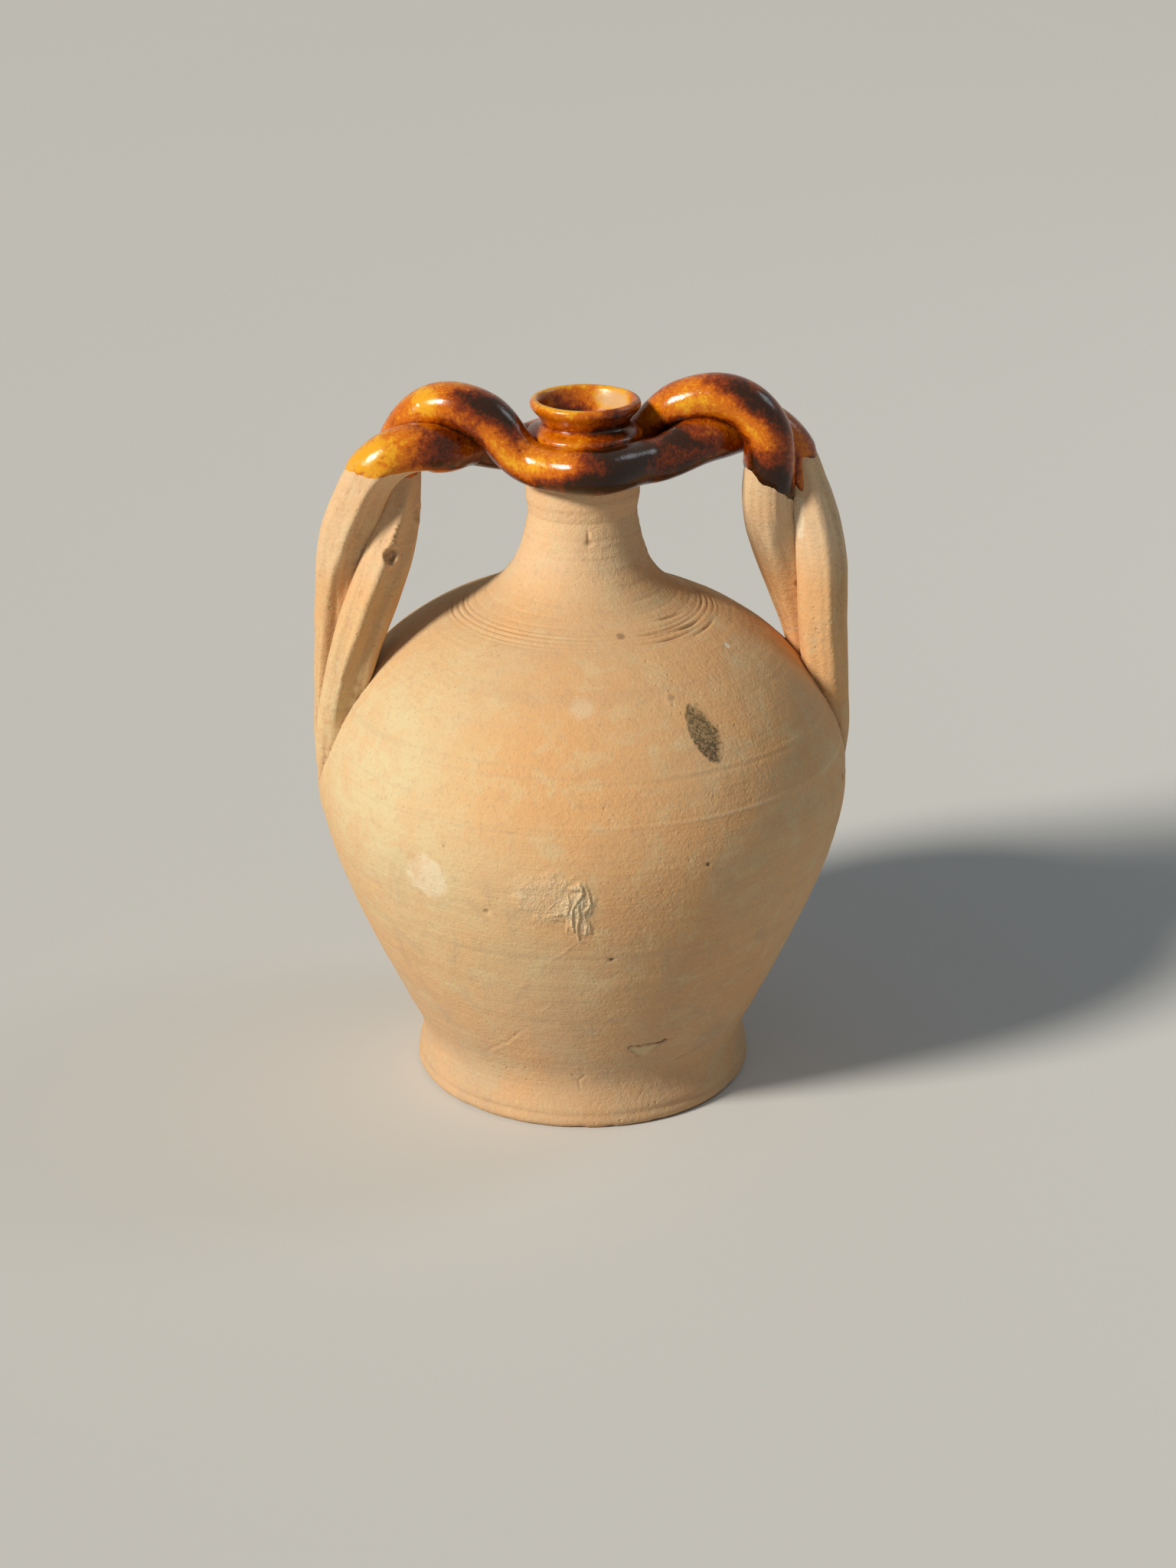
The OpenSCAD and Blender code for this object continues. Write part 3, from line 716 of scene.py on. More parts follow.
# Dents on the legs: station, turn, radius and depth. A negative depth is a crumb.
DENTS = {
    "front": ((-6.66, 0.262, 2.7, 1.9), (-5.88, 0.44, 2.6, 0.8), (-8.68, 0.20, 1.5, -0.6),
              (-7.3, 0.16, 1.2, 0.4), (-6.16, 0.250, 1.0, -0.8), (-6.27, 0.246, 0.9, -0.6),
              (-6.38, 0.242, 0.9, -0.8), (-6.50, 0.234, 0.8, -0.6), (-8.48, 0.195, 0.9, -0.6)),
    "back": ((6.2, 0.70, 1.2, 0.4), (-7.4, 0.78, 1.4, 0.4), (7.1, 0.93, 1.6, -0.4)),
}


def turn_from(around, turn):
    """Share of a turn from one place round the coil to another, from minus a half to a half."""
    return (around - turn + 0.5) % 1 - 0.5


def finger_marks(path, s, around, way, radius):
    """Height of the ridges and dents on a coil, and where the dents are, for painted shade in them: a ridge
    is a bell with a wider hollow beside it, and a dent is a flat-bottomed pit with a low rim."""
    height, pits = np.zeros_like(radius), np.zeros_like(radius)
    for stations, turns, side, tall in RIDGES[path.coil]:
        first, last = stations[0], stations[-1]
        beside = side * turn_from(around, np.interp(s, stations, turns))
        fade = ramp(s, first - 0.5, first + 0.4) * ramp(s, last + 0.5, last - 0.4)
        hollow = bell((beside - HOLLOW_BESIDE) / HOLLOW_WIDTH)
        height = height + fade * tall * (bell(beside / RIDGE_WIDTH) - 0.9 * hollow)
    for station, turn, wide, depth in DENTS[path.coil]:
        along = way - np.interp(station, path.s, path.way)
        far = np.hypot(along, turn_from(around, turn) * TURN * radius) / wide
        height = height - depth * (ramp(far, 1.15, 0.75) - 0.25 * bell((far - 1.35) / 0.3))
        pits = pits + depth * ramp(far, 1.1, 0.8)
    return height, np.clip(pits, 0, 2)


# Stations from the middle of a coil, from and to: where its legs start, where the pair is pressed together,
# where painted shade lies against the wall, and where the ends sink into it. Then how far they are pressed
# and sunk.
LEGS_FROM = (4.6, 6.0)
PRESSED_FROM = (4.2, 5.6)
WALL_SHADE_FROM = (6.6, 7.4)
SUNK_FROM = (7.5, 9.5)
PRESSED = 0.9
SUNK = 4.5


def coil_surface(path, s, around, grow, twin, clear, lines, seed, strokes):
    """The coil's skin: its centre plus its radius times the cosine and the sine of the angle round it.
    Lumps, lengthwise strokes and finger marks are added to the radius, and the skin is flattened softly
    where it meets its twin and the vessel. At the roots it sinks into the wall."""
    p = path_at(path, s)
    from_middle = np.abs(s)
    turn = around * TURN
    lumps = 0.30 * waves(around * 3, p.way / 21, seed, 3) + 0.12 * waves(around * 7, p.way / 9, seed + 1, 7)
    legs = ramp(from_middle, *LEGS_FROM)
    dragged = (0.34 * waves(around * 15, p.way / 60, seed + 2, 15)
               + 0.21 * waves(around * 34, p.way / 26, seed + 3, 34)
               + 0.05 * waves(around * 50, p.way / 5, seed + 4, 50))
    marks, pits = finger_marks(path, s, around, p.way, p.radius)
    radius = p.radius + grow + lumps + strokes * dragged * (0.15 + 0.85 * legs) + marks
    out = np.cos(turn)[..., None] * p.rise + np.sin(turn)[..., None] * p.side
    points = p.centre + radius[..., None] * out
    apart = np.sum((points - p.middle) * p.apart, axis=-1)
    least_apart = twin - PRESSED * ramp(from_middle, *PRESSED_FROM)
    points = points + (at_least(apart, least_apart, 0.35) - apart)[..., None] * p.apart
    across = np.hypot(points[..., 0], points[..., 1])
    wall = outer_radius(lines, points[..., 2])
    # Painted shade on the coil close to the wall, where its ends meet the vessel.
    wall_shade = bell((across - wall) / 1.2) * ramp(from_middle, *WALL_SHADE_FROM)
    least_across = wall + clear - SUNK * ramp(from_middle, *SUNK_FROM)
    scale = at_least(across, least_across, 0.3) / across
    points = points * np.stack([scale, scale, np.ones_like(scale)], axis=-1)
    # Groove layer: darker in the drag grooves, with painted shade in the dents and against the wall.
    groove = legs * ramp(-dragged, 0.02, 0.30) + pits + 2 * wall_shade
    return SimpleNamespace(points=points, out=out, apart=apart, groove=groove)


def half_turn(back):
    """Factors of x, y and z that turn the back coil half round, and leave the front coil as it is."""
    return np.array([-1, -1, 1]) if back else np.ones(3)


# Sides of a coil, step between its rows, and its clearance from the vessel over what the glaze needs.
COIL_SIDES = 124
COIL_STEP = 0.75
COIL_CLEAR = 0.35


def make_coil(name, path, back, glaze, lines, seed, material):
    """One clay coil, closed at both roots."""
    count = round(path.way[-1] / COIL_STEP)
    s = np.interp(np.linspace(0, path.way[-1], count), path.way, path.s)[:, None]
    s, around = np.broadcast_arrays(s, (np.arange(COIL_SIDES) / COIL_SIDES)[None, :])
    twin = glaze.coat + glaze.bed
    clear = 2 * glaze.coat + glaze.bed + COIL_CLEAR
    skin = coil_surface(path, s, around, 0, twin, clear, lines, seed, 1)
    grid = skin.points * half_turn(back)
    ends = grid[[0, -1]].mean(axis=1)
    make_piece(name + "_clay", grid, [name], material, ends, {"groove": skin.groove})


# Glaze lines on the four legs, as the coil's side and end: height of the line, its slope across the leg,
# how ragged it is, how thin the glaze runs out there (a negative value is a pool), and a drip: the turn
# round the coil that it runs down at, and its length.
DIP_LINES = {
    ("front", -1): (244, 0.0, 1.2, 0.3, 0.0, 0.0),
    ("front", 1): (246, -0.1, 1.2, -0.2, 0.29, 14.0),
    ("back", 1): (248.5, 0.05, 0.9, 1.0, 0.0, 0.0),
    ("back", -1): (237, -0.75, 1.0, -0.7, 0.0, 0.0),
}
# Where the glaze is darker, partly deeper glaze and partly painted shade on the sides turned from the lamps,
# and with a negative value lighter, partly thinner glaze and partly painted light on the lit flanks: station
# along the coil, the turn round it, half length, half width in millimetres, and how much.
TONES = {
    "front": ((-1.78, 0.12, 11, 6.0, 1.00), (-2.24, 0.12, 6, 5.0, 0.45), (-2.65, 0.12, 9, 7, -0.25),
              (-2.95, 0.19, 6, 6, -0.45), (-1.35, 0.30, 14, 4, -0.75), (-0.60, 0.19, 14, 5, -0.75),
              (0.70, 0.08, 20, 9, 0.75), (1.30, 0.12, 14, 11, 0.45), (0.10, 0.98, 8, 5, 0.55),
              (-0.05, 0.26, 18, 4.0, 0.60), (1.65, 0.15, 12, 9, 0.45), (4.70, 0.10, 10, 8, 0.20),
              (-0.10, 0.14, 26, 12, 0.18), (0.10, 0.16, 10, 9, 0.35)),
    "back": ((4.60, 0.90, 13, 9, -0.38), (3.30, 0.81, 10, 7, 0.70), (-2.05, 0.84, 9, 6, -0.45),
             (-3.00, 0.70, 8, 5, -0.35), (-3.75, 0.69, 10, 3.5, -0.75), (-3.42, 0.86, 10, 7.5, 1.25),
             (-2.92, 0.91, 7, 5, 0.35), (-4.65, 0.78, 10, 10, 0.55)),
}
# Stations from the middle of a coil between which its glaze ends, and how many of them are tried.
DIP_FROM = (3.4, 8.4)
DIP_TRIES = 240
DRIP_HALF_WIDTH = 0.045


def dip_stops(path, end, line, back, around, lines, seed):
    """For each line along the coil, the s at which it comes down through the glaze line on one leg."""
    level, slope, ragged, _, drip_turn, drip = line
    s = (end * np.linspace(*DIP_FROM, DIP_TRIES))[:, None]
    s, turn = np.broadcast_arrays(s, around[None, :])
    points = coil_surface(path, s, turn, 0.5, 0, 0.5, lines, seed, 0).points * half_turn(back)
    middle = points[..., 0].mean(axis=1, keepdims=True)
    edge = level + slope * (points[..., 0] - middle) + ragged * waves(turn * 9, 0 * turn, seed + 5, 9)
    edge = edge + 0.5 * ragged * waves(turn * 31, 0 * turn, seed + 6, 31)
    edge = edge - drip * bell(turn_from(turn, drip_turn) / DRIP_HALF_WIDTH)
    first = np.argmax(points[..., 2] < edge, axis=0)
    return s[first, np.arange(len(around))]


# Rows of the glaze on a coil, its clearance from its twin, and how far its skin and its bed stand off the
# clay where it ends.
SLEEVE_ROWS = 360
TWIN_GAP = 0.02
SKIN_OFF = 0.05
BED_OFF = 0.02


def both_sides(outer):
    """A layer for a shell, whose rows run over its outer side and back along its inner side."""
    return np.concatenate([outer, outer[::-1]])


def make_coil_glaze(name, path, back, glaze, lines, seed, material):
    """The glaze on a coil: a shell whose lines run from one glaze line over both arches to the other, thin
    at its edges. Layers on its points hold how thin it is and where it is darker: where it pools, and where
    painted shade lies on its undersides, in the crease between the coils and on the sides turned from the
    lamps."""
    around = np.arange(COIL_SIDES) / COIL_SIDES
    left, right = DIP_LINES[path.coil, -1], DIP_LINES[path.coil, 1]
    starts = dip_stops(path, -1, left, back, around, lines, seed)
    stops = dip_stops(path, 1, right, back, around, lines, seed + 40)
    share = np.linspace(0, 1, SLEEVE_ROWS)[:, None]
    way = np.interp(starts, path.s, path.way) * (1 - share) + np.interp(stops, path.s, path.way) * share
    s = np.interp(way, path.way, path.s)
    turn = np.broadcast_to(around[None, :], s.shape)
    from_start, from_stop = way - way[:1], way[-1:] - way
    from_edge = np.minimum(from_start, from_stop)
    clear = glaze.coat + COIL_CLEAR
    grow = SKIN_OFF + (glaze.coat + glaze.bed) * ramp(from_edge, -0.6, 3.0)
    skin = coil_surface(path, s, turn, grow, TWIN_GAP, clear, lines, seed, 0.3)
    bed = coil_surface(path, s, turn, BED_OFF, TWIN_GAP + glaze.coat, clear + glaze.coat, lines, seed, 0.3)
    blur = 3 * waves(turn * 11, way / 9, seed + 7, 11)
    thin = left[3] * ramp(from_start + blur, 18, 0) + right[3] * ramp(from_stop + blur, 18, 0)
    # The pool layer is partly glaze pooled under the coils and in the crease where they meet, and partly
    # painted shade in those places.
    under = ramp(skin.out[..., 2], 0.25, -0.75)
    crease = bell(np.clip(skin.apart, 0, None) / 2.2)
    pool_and_shade = np.clip(0.75 * under + 0.6 * crease, 0, 1) * (1 - 0.6 * np.clip(thin, 0, 1))
    radius = np.interp(s, path.s, path.radius)
    # Darker and lighter patches: partly deeper and thinner glaze, partly painted shade and painted light.
    for station, near, long, wide, much in TONES[path.coil]:
        along = (way - np.interp(station, path.s, path.way)) / long
        pool_and_shade = pool_and_shade + much * bell(along) * bell(turn_from(turn, near) * TURN * radius / wide)
    beads = ramp(waves(turn * 37, way / 1.5, seed + 8, 37), -0.1, 0.5)
    pool_and_shade = pool_and_shade + 0.5 * ramp(from_edge, 1.8, 0.2) * beads
    grid = np.concatenate([skin.points, bed.points[::-1]]) * half_turn(back)
    layers = {"thin": both_sides(thin), "pool_and_shade": both_sides(pool_and_shade)}
    make_piece(name + "_shell", grid, [name], material, None, layers)


# Step between the rows of the glaze on the mouth, the angle at which it is most worn inside, and the angle
# outside that is turned from the key lamp, where it has painted shade.
RIM_STEP = 0.4
WORN_AT = math.radians(38)
SHADED_AT = math.radians(-40)


def make_mouth_glaze(v, glaze, lines, columns, material):
    """The glaze on the mouth: the mouth's outline moved out by the coat, from a ragged line under the
    coils, over the lip, to a ragged line inside the throat."""
    line = evenly(np.vstack([lines.mouth, lines.throat[1:]]), RIM_STEP)
    way = travel(line)
    angles = ring_angles(columns)
    start = 1.0 + 0.8 * waves(angles * 9 / TURN, 0 * angles, 61, 9)
    stop = way[-1] - 1.6 + 1.2 * waves(angles * 7 / TURN, 0 * angles, 62, 7)
    share = np.linspace(0, 1, len(line))[:, None]
    places = start * (1 - share) + stop * share
    from_edge = np.minimum(places - places[:1], places[-1:] - places)
    normal = sideways(line)

    def at(column):
        return np.interp(places, way, column)

    def shell(offset):
        radius = at(line[:, 0]) + offset * at(normal[:, 0])
        height = at(line[:, 1]) + offset * at(normal[:, 1])
        return np.stack([radius * np.cos(angles), radius * np.sin(angles), height], axis=-1)

    ripple = 0.05 * waves(angles * 12 / TURN, places / 4, 64, 12)
    skin = shell(0.06 + glaze.coat * ramp(from_edge, -0.6, 2.2) + ripple)
    bed = shell(BED_OFF * np.ones_like(places))
    rim_way = way[len(way) - len(evenly(lines.throat, RIM_STEP))]
    past_rim = places - rim_way
    inside = ramp(past_rim, -1, 4)
    worn = bell((np.sin((angles - WORN_AT) / 2)) / 0.38)
    thin = 0.4 * ramp(from_edge, 5, 0) * (1 - inside) + inside * (0.05 + 1.9 * worn * ramp(past_rim, 13, 4))
    # Paler along the lip's edge: thinner glaze there, and a painted sheen.
    thin = thin + 0.7 * bell(past_rim / 1.6)
    height = at(line[:, 1]) - v.rim_height
    hollow = bell((height + 8.4) / 1.8) * (1 - inside)
    # Under the flange, down to the coils: pooled glaze, with painted shade there too.
    foot = ramp(height, -12.6, -14) * (1 - inside)
    # Painted shade on the outside of the mouth, on the side turned from the key lamp.
    thick = ramp(np.cos(angles - SHADED_AT), 0.1, 0.9) * (1 - inside)
    # Painted shade deeper in the throat.
    throat = inside * ramp(past_rim, 5, 13)
    # The pool: glaze pooled in the hollow and under the flange, and painted shade under the flange, on the
    # side turned from the key lamp, deeper in the throat and inside away from the worn part.
    pool_and_shade = 0.55 * hollow + 0.75 * foot + 0.55 * thick + 0.4 * throat + 0.65 * inside * (1 - worn)
    layers = {"thin": both_sides(thin), "pool_and_shade": both_sides(np.clip(pool_and_shade, 0, 1))}
    grid = set_on(np.concatenate([skin, bed[::-1]]))
    make_piece("mouth_glaze_shell", grid, ["mouth_glaze"], material, None, layers)


# Luting pads: half height, half width, height of the middle over the widest line, columns and rows of the
# mesh, share of the way out at which the rows start, and the seeds of the edge and the smear on each side.
PAD_HALF_HEIGHT = 20
PAD_HALF_WIDTH = 14
PAD_OVER_BELLY = 6
PAD_COLUMNS = 96
PAD_ROWS = 26
PAD_START = 0.06
PAD_SEEDS = {1: (71, 73), -1: (72, 74)}


def make_root(name, side, v, c, lines, material):
    """A luting pad: an oval lens on the belly under the coil ends, its rows running out from its middle
    over the top, round the rim and back underneath."""
    edge_seed, smear_seed = PAD_SEEDS[side]
    turn = (np.arange(PAD_COLUMNS) * TURN / PAD_COLUMNS)[None, :]
    q = np.linspace(PAD_START, 1, PAD_ROWS)[:, None]
    ragged = 1 + 0.05 * waves(turn * 9 / TURN, 0 * turn, edge_seed, 9) * q
    y = PAD_HALF_WIDTH * q * ragged * np.cos(turn)
    z = v.belly_height + PAD_OVER_BELLY + PAD_HALF_HEIGHT * q * ragged * np.sin(turn)
    smear = 0.10 * waves(turn * 17 / TURN, q * 3, smear_seed, 17) * (1 - q)
    rise = (0.25 + c.pad_thickness + smear) * (1 - q ** 4)

    def over(height):
        radius = outer_radius(lines, z) + height
        return np.stack([side * np.sqrt(radius ** 2 - y ** 2), side * y, z + 0 * radius], axis=-1)

    skin, bed = over(rise - 0.05), over(-0.4 + 0 * rise)
    grid = np.concatenate([skin, bed[::-1]])
    ends = np.stack([skin[0].mean(axis=0), bed[0].mean(axis=0)])
    make_piece(name + "_clay", grid[:, ::-1], [name], material, ends)


# Materials

class Wire:
    """A socket in a node tree. Arithmetic on it adds Math nodes."""

    def __init__(self, tree, socket):
        self.tree = tree
        self.socket = socket

    def node(self, kind, settings, values, output=0):
        """Adds a node: its settings first, then the values or links of its sockets."""
        node = self.tree.nodes.new(kind)
        for name, value in settings.items():
            setattr(node, name, value)
        for name, value in values.items():
            if isinstance(value, Wire):
                self.tree.links.new(value.socket, node.inputs[name])
            else:
                node.inputs[name].default_value = value
        return Wire(self.tree, node.outputs[output])

    def math(self, operation, first, second):
        return self.node("ShaderNodeMath", {"operation": operation}, {0: first, 1: second})

    def __add__(self, other):
        return self.math("ADD", self, other)

    def __sub__(self, other):
        return self.math("SUBTRACT", self, other)

    def __rsub__(self, other):
        return self.math("SUBTRACT", other, self)

    def __mul__(self, other):
        return self.math("MULTIPLY", self, other)

    __radd__ = __add__
    __rmul__ = __mul__

    def near(self, value, half, soft=0.75):
        """One where this is value, and zero further off than half, with a soft share of that half."""
        return self.math("ABSOLUTE", self - value, 0).step(half, (1 - soft) * half)

    def step(self, low, high):
        """Zero below low and one above high, with a smooth step between; low may be the larger."""
        settings = {"interpolation_type": "SMOOTHSTEP"}
        return self.node("ShaderNodeMapRange", settings, {"Value": self, "From Min": low, "From Max": high})

    def noise(self, scale, detail=3.0, rough=0.5, distortion=0.0):
        """Noise at this point, from about 0.2 to 0.8; scale is in cells a metre."""
        return self.node("ShaderNodeTexNoise", {}, {"Vector": self, "Scale": scale, "Detail": detail,
                                                    "Roughness": rough, "Distortion": distortion})

    def blend(self, first, second):
        """The first colour where this mask is zero and the second where it is one."""
        return self.node("ShaderNodeMix", {"data_type": "RGBA"}, {0: self, 6: first, 7: second}, 2)

    def from_centre(self, centre, radius):
        """Distance of this point from a centre, as a share of a radius, with both in millimetres."""
        place = self.node("ShaderNodeMapping", {"vector_type": "TEXTURE"}, {
            "Vector": self, "Location": [x * MM for x in centre], "Scale": [radius * MM] * 3})
        return self.node("ShaderNodeVectorMath", {"operation": "LENGTH"}, {0: place}, 1)

    def stretched(self, x, y, z):
        """This point with each axis scaled."""
        return self.node("ShaderNodeVectorMath", {"operation": "MULTIPLY"}, {0: self, 1: (x, y, z)})

    def layer(self, name):
        """A layer of values on the piece's points."""
        return self.node("ShaderNodeAttribute", {"attribute_name": name}, {}, "Fac")

    def bump(self, strength, distance):
        """The normal as this height bends it, with the distance in millimetres."""
        return self.node("ShaderNodeBump", {}, {"Height": self, "Strength": strength,
                                                "Distance": distance * MM})


def new_material(name):
    """A material with an empty principled shader, its Object coordinates as a Wire, and the shader."""
    material = bpy.data.materials.new(name)
    material.use_nodes = True
    tree = material.node_tree
    shader = tree.nodes["Principled BSDF"]
    return material, Wire(tree, tree.nodes.new("ShaderNodeTexCoord").outputs["Object"]), shader


def feed(shader, name, wire):
    """Links a wire to a socket of the shader."""
    wire.tree.links.new(wire.socket, shader.inputs[name])


def coated(shade, finish, coats):
    """A colour with coats laid over it in turn, each with its mask and the name of its colour."""
    for mask, tint in coats:
        shade = mask.blend(shade, getattr(finish, tint))
    return shade


def on_vessel(lines, angle, height):
    """The point of the vessel's outer surface at an angle in degrees and a height, in millimetres."""
    radius = float(outer_radius(lines, height))
    return (radius * math.cos(math.radians(angle)), radius * math.sin(math.radians(angle)), height)


# Spots on the clay: angle, height, radius in millimetres, name of the colour, strength and softness. The
# softest are clouds.
CLOUD = 1.0
SPOTS = (
    (-148.0, 146.0, 60.0, "cream_and_highlight", 0.85, CLOUD), (-98.0, 158.0, 46.0, "peach", 0.90, CLOUD),
    (-120.0, 96.0, 40.0, "cream_and_highlight", 0.30, CLOUD), (-76.0, 66.0, 54.0, "ash", 0.36, CLOUD),
    (70.0, 150.0, 55.0, "cream_and_highlight", 0.5, CLOUD), (120.0, 90.0, 50.0, "peach", 0.6, CLOUD),
    (20.0, 80.0, 50.0, "ash", 0.3, CLOUD),
    (-131.5, 114.0, 9.0, "slip", 0.52, 0.20), (-97.2, 175.8, 5.0, "slip", 0.28, 0.5),
    (-79.0, 192.1, 1.8, "soil_and_shade", 0.70, 0.4), (-90.6, 84.6, 1.1, "soot_and_shadow", 0.85, 0.4),
    (-70.6, 122.0, 1.0, "soot_and_shadow", 0.80, 0.4), (-117.9, 104.4, 1.0, "soil_and_shade", 0.80, 0.5),
    (-71.3, 176.7, 1.6, "soil_and_shade", 0.50, 0.5), (-19.0, 128.0, 1.8, "soil_and_shade", 0.65, 0.5),
    (-127.0, 128.0, 0.7, "soil_and_shade", 0.60, 0.4), (-98.4, 110.0, 9.0, "cream_and_highlight", 0.45, 0.7),
    (-91.4, 221.5, 1.7, "soil_and_shade", 0.45, 0.5), (-36.4, 184.1, 1.4, "slip", 1.0, 0.2),
    (-52.0, 33.0, 9.0, "ash", 0.5, 0.9), (128.0, 100.0, 1.2, "soot_and_shadow", 0.75, 0.4),
    (84.0, 120.0, 8.0, "slip", 0.30, 0.5), (60.0, 170.0, 1.6, "soil_and_shade", 0.55, 0.5),
)
# The lens of smoke: its upper and lower end, a place in its middle, and the radius of its bowed sides. Then
# how far the centre of the crisp left side and that of the faded right side lie to the right and up, in
# millimetres.
SMOKE_ENDS = ((-66.6, 174.6), (-63.6, 155.0))
SMOKE_MIDDLE = (-65.1, 165.0)
SMOKE_BOW = 16.5
SMOKE_CENTRES = ((9.5, -0.5), (-12.1, 1.0))
# A strip of slip on the right handle: its place along X and its height, each with its half size, in metres.
STRIP_ACROSS = (0.0810, 0.0023)
STRIP_HEIGHT = (0.2235, 0.0085)


def spot_coats(point, lines, edge, patches):
    """Masks and colours of the spots: the distance from each one's middle, ragged and softly cut off."""
    coats = []
    for angle, height, radius, tint, strength, soft in SPOTS:
        far = point.from_centre(on_vessel(lines, angle, height), radius) + edge * 0.6
        if soft == CLOUD:
            far = far + (patches - 0.5) * 1.4
        coats.append((far.step(1 + soft / 2, 1 - soft) * strength, tint))
    return coats


def smoke_lens(point, lines, height, edge):
    """Mask of the lens of smoke: where two balls overlap, whose centres lie beside it along the surface, one
    with a crisp edge and one with a faded edge, cut off at the top."""
    top, low = (np.array(on_vessel(lines, *end)) for end in SMOKE_ENDS)
    angle, up = SMOKE_MIDDLE
    middle, beside, above = (np.array(on_vessel(lines, angle + turn, up + rise))
                             for turn, rise in ((0, 0), (1, 0), (0, 1)))
    upward = unit(top - low)
    rightward = unit(np.cross(top - low, np.cross(beside - middle, above - middle)))
    crisp, faded = (point.from_centre((top + low) / 2 + right * rightward + rise * upward, SMOKE_BOW)
                    for right, rise in SMOKE_CENTRES)
    below_top = (height + edge * 0.006).step(0.1775, 0.1750)
    return (crisp + edge * 0.16).step(1.02, 0.96) * (faded + edge * 0.5).step(1.10, 0.88) * below_top


def terracotta(finish, lines):
    """Unglazed clay: buff and peach clouds under coats of cream, ash, slip and soil in spots, blotches,
    turning bands and lines, a greyer foot, torn places, darker drag grooves and specks, painted highlights
    and painted shade from the tone and groove layers, a lens of smoke, and a pebbled grain."""
    material, point, shader = new_material("fired_clay")
    across, _, height = (point.node("ShaderNodeSeparateXYZ", {}, {0: point}, axis) for axis in "XYZ")
    groove, tone, torn = (point.layer(name) for name in ("groove", "tone", "torn"))
    crinkles = point.stretched(1, 1, 0.7).noise(640, 2, 0.5, 1.0)
    clouds = point.noise(15, 4, 0.55, 0.5)
    patches = point.stretched(1, 1, 1.8).noise(31, 5, 0.65, 0.3)
    wiped = point.stretched(1, 1, 0.45).noise(60, 4, 0.6, 1.2)
    bands = point.stretched(1.5, 1.5, 75).noise(1, 4, 0.6)
    threads = point.stretched(7, 7, 460).noise(1, 2, 0.5)
    pebbles = point.noise(330, 3, 0.55)
    grain = point.noise(720, 3, 0.65)
    peel = point.noise(560, 2, 0.5, 0.6)
    blotches = point.noise(95, 4, 0.65, 0.6)
    specks = point.noise(1500, 2, 0.5)
    edge = (pebbles - 0.5) * 0.7 + (grain - 0.5) * 0.5
    broken = clouds.step(0.40, 0.60)
    strip = ((across + edge * 0.0030).near(*STRIP_ACROSS, 0.4)
             * (height + edge * 0.005).near(*STRIP_HEIGHT, 0.2))
    shade = coated(clouds.step(0.38, 0.64).blend(finish.buff, finish.peach), finish, [
        (height.step(0.196, 0.215) * 0.28, "slip"),
        *spot_coats(point, lines, edge, patches),
        (patches.step(0.52, 0.74) * 0.42, "cream_and_highlight"),
        (blotches.step(0.50, 0.68) * 0.34, "cream_and_highlight"),
        (blotches.step(0.47, 0.32) * 0.30, "peach"),
        (blotches.step(0.54, 0.46) * across.step(-0.045, -0.085) * 0.32, "buff"),
        (wiped.step(0.52, 0.70) * height.step(0.150, 0.090) * 0.30, "ash"),
        (bands.step(0.50, 0.72) * (across.step(-0.09, 0.06) * 0.14 + 0.08), "ash"),
        (threads.step(0.58, 0.74) * 0.14, "ash"),
        (height.step(0.085, 0.015) * (patches.step(0.3, 0.7) * 0.5 + 0.5) * 0.50, "ash"),
        (height.near(0.1460, 0.0066, 0.3) * across.step(-0.02, 0.06) * broken * 0.16, "ash"),
        (height.near(LOWER_LINE * MM, 0.0008) * across.step(0.0, 0.06) * broken * 0.30, "slip"),
        (torn * (crinkles.step(0.46, 0.64) * 0.35 + 0.15), "slip"),
        (torn * crinkles.step(0.46, 0.34) * 0.06, "soil_and_shade"),
        (pebbles.step(0.55, 0.75) * 0.24, "ash"),
        (grain.step(0.55, 0.76) * 0.44, "ash"),
        (grain.step(0.44, 0.27) * 0.36, "cream_and_highlight"),
        (specks.step(0.66, 0.74) * grain.step(0.45, 0.6) * 0.6, "soil_and_shade"),
        # Groove layer: darker drag grooves, and painted shade in the dents and where the coils meet the
        # wall.
        (groove * (grain.step(0.3, 0.65) * 0.22 + 0.08), "soil_and_shade"),
        # Tone layer: painted highlights paler and painted shade darker, down to soot for the shadow under
        # the flake's edge.
        (tone.step(0.0, 0.9) * 0.65, "cream_and_highlight"),
        (tone.step(-0.1, -0.9) * 0.80, "soil_and_shade"),
        (tone.step(-0.9, -1.6) * 0.80, "soot_and_shadow"),
        (strip * (grain.step(0.30, 0.62) * 0.4 + 0.25), "slip"),
    ])
    sooty = height.step(0.168, 0.156) * grain.step(0.20, 0.5)
    dusty = (grain + (specks - 0.5) * 0.6).step(0.62, 0.40)
    smoke = smoke_lens(point, lines, height, edge) * (dusty * 0.42 + 0.54)
    feed(shader, "Base Color", smoke.blend(shade, sooty.blend(finish.stain, finish.soot_and_shadow)))
    feed(shader, "Roughness", 0.78 + grain * 0.22)
    shader.inputs["Specular IOR Level"].default_value = 0.22

    rings = point.stretched(25, 25, 900).noise(1, 2, 0.6)
    pits = point.node("ShaderNodeTexVoronoi", {}, {"Vector": point, "Scale": 260.0}).step(0.20, 0.05)
    rough = broken * 0.7 + 0.3
    relief = (pebbles * 0.3 + peel * rough * 0.65 + point.noise(130, 2) * 0.4 + grain * 0.45 + specks * 0.25
              + rings * 0.3 + torn * crinkles * 3.0 - pits * broken * patches.step(0.4, 0.6) * 0.6)
    feed(shader, "Normal", relief.bump(0.8, 0.5))
    return material


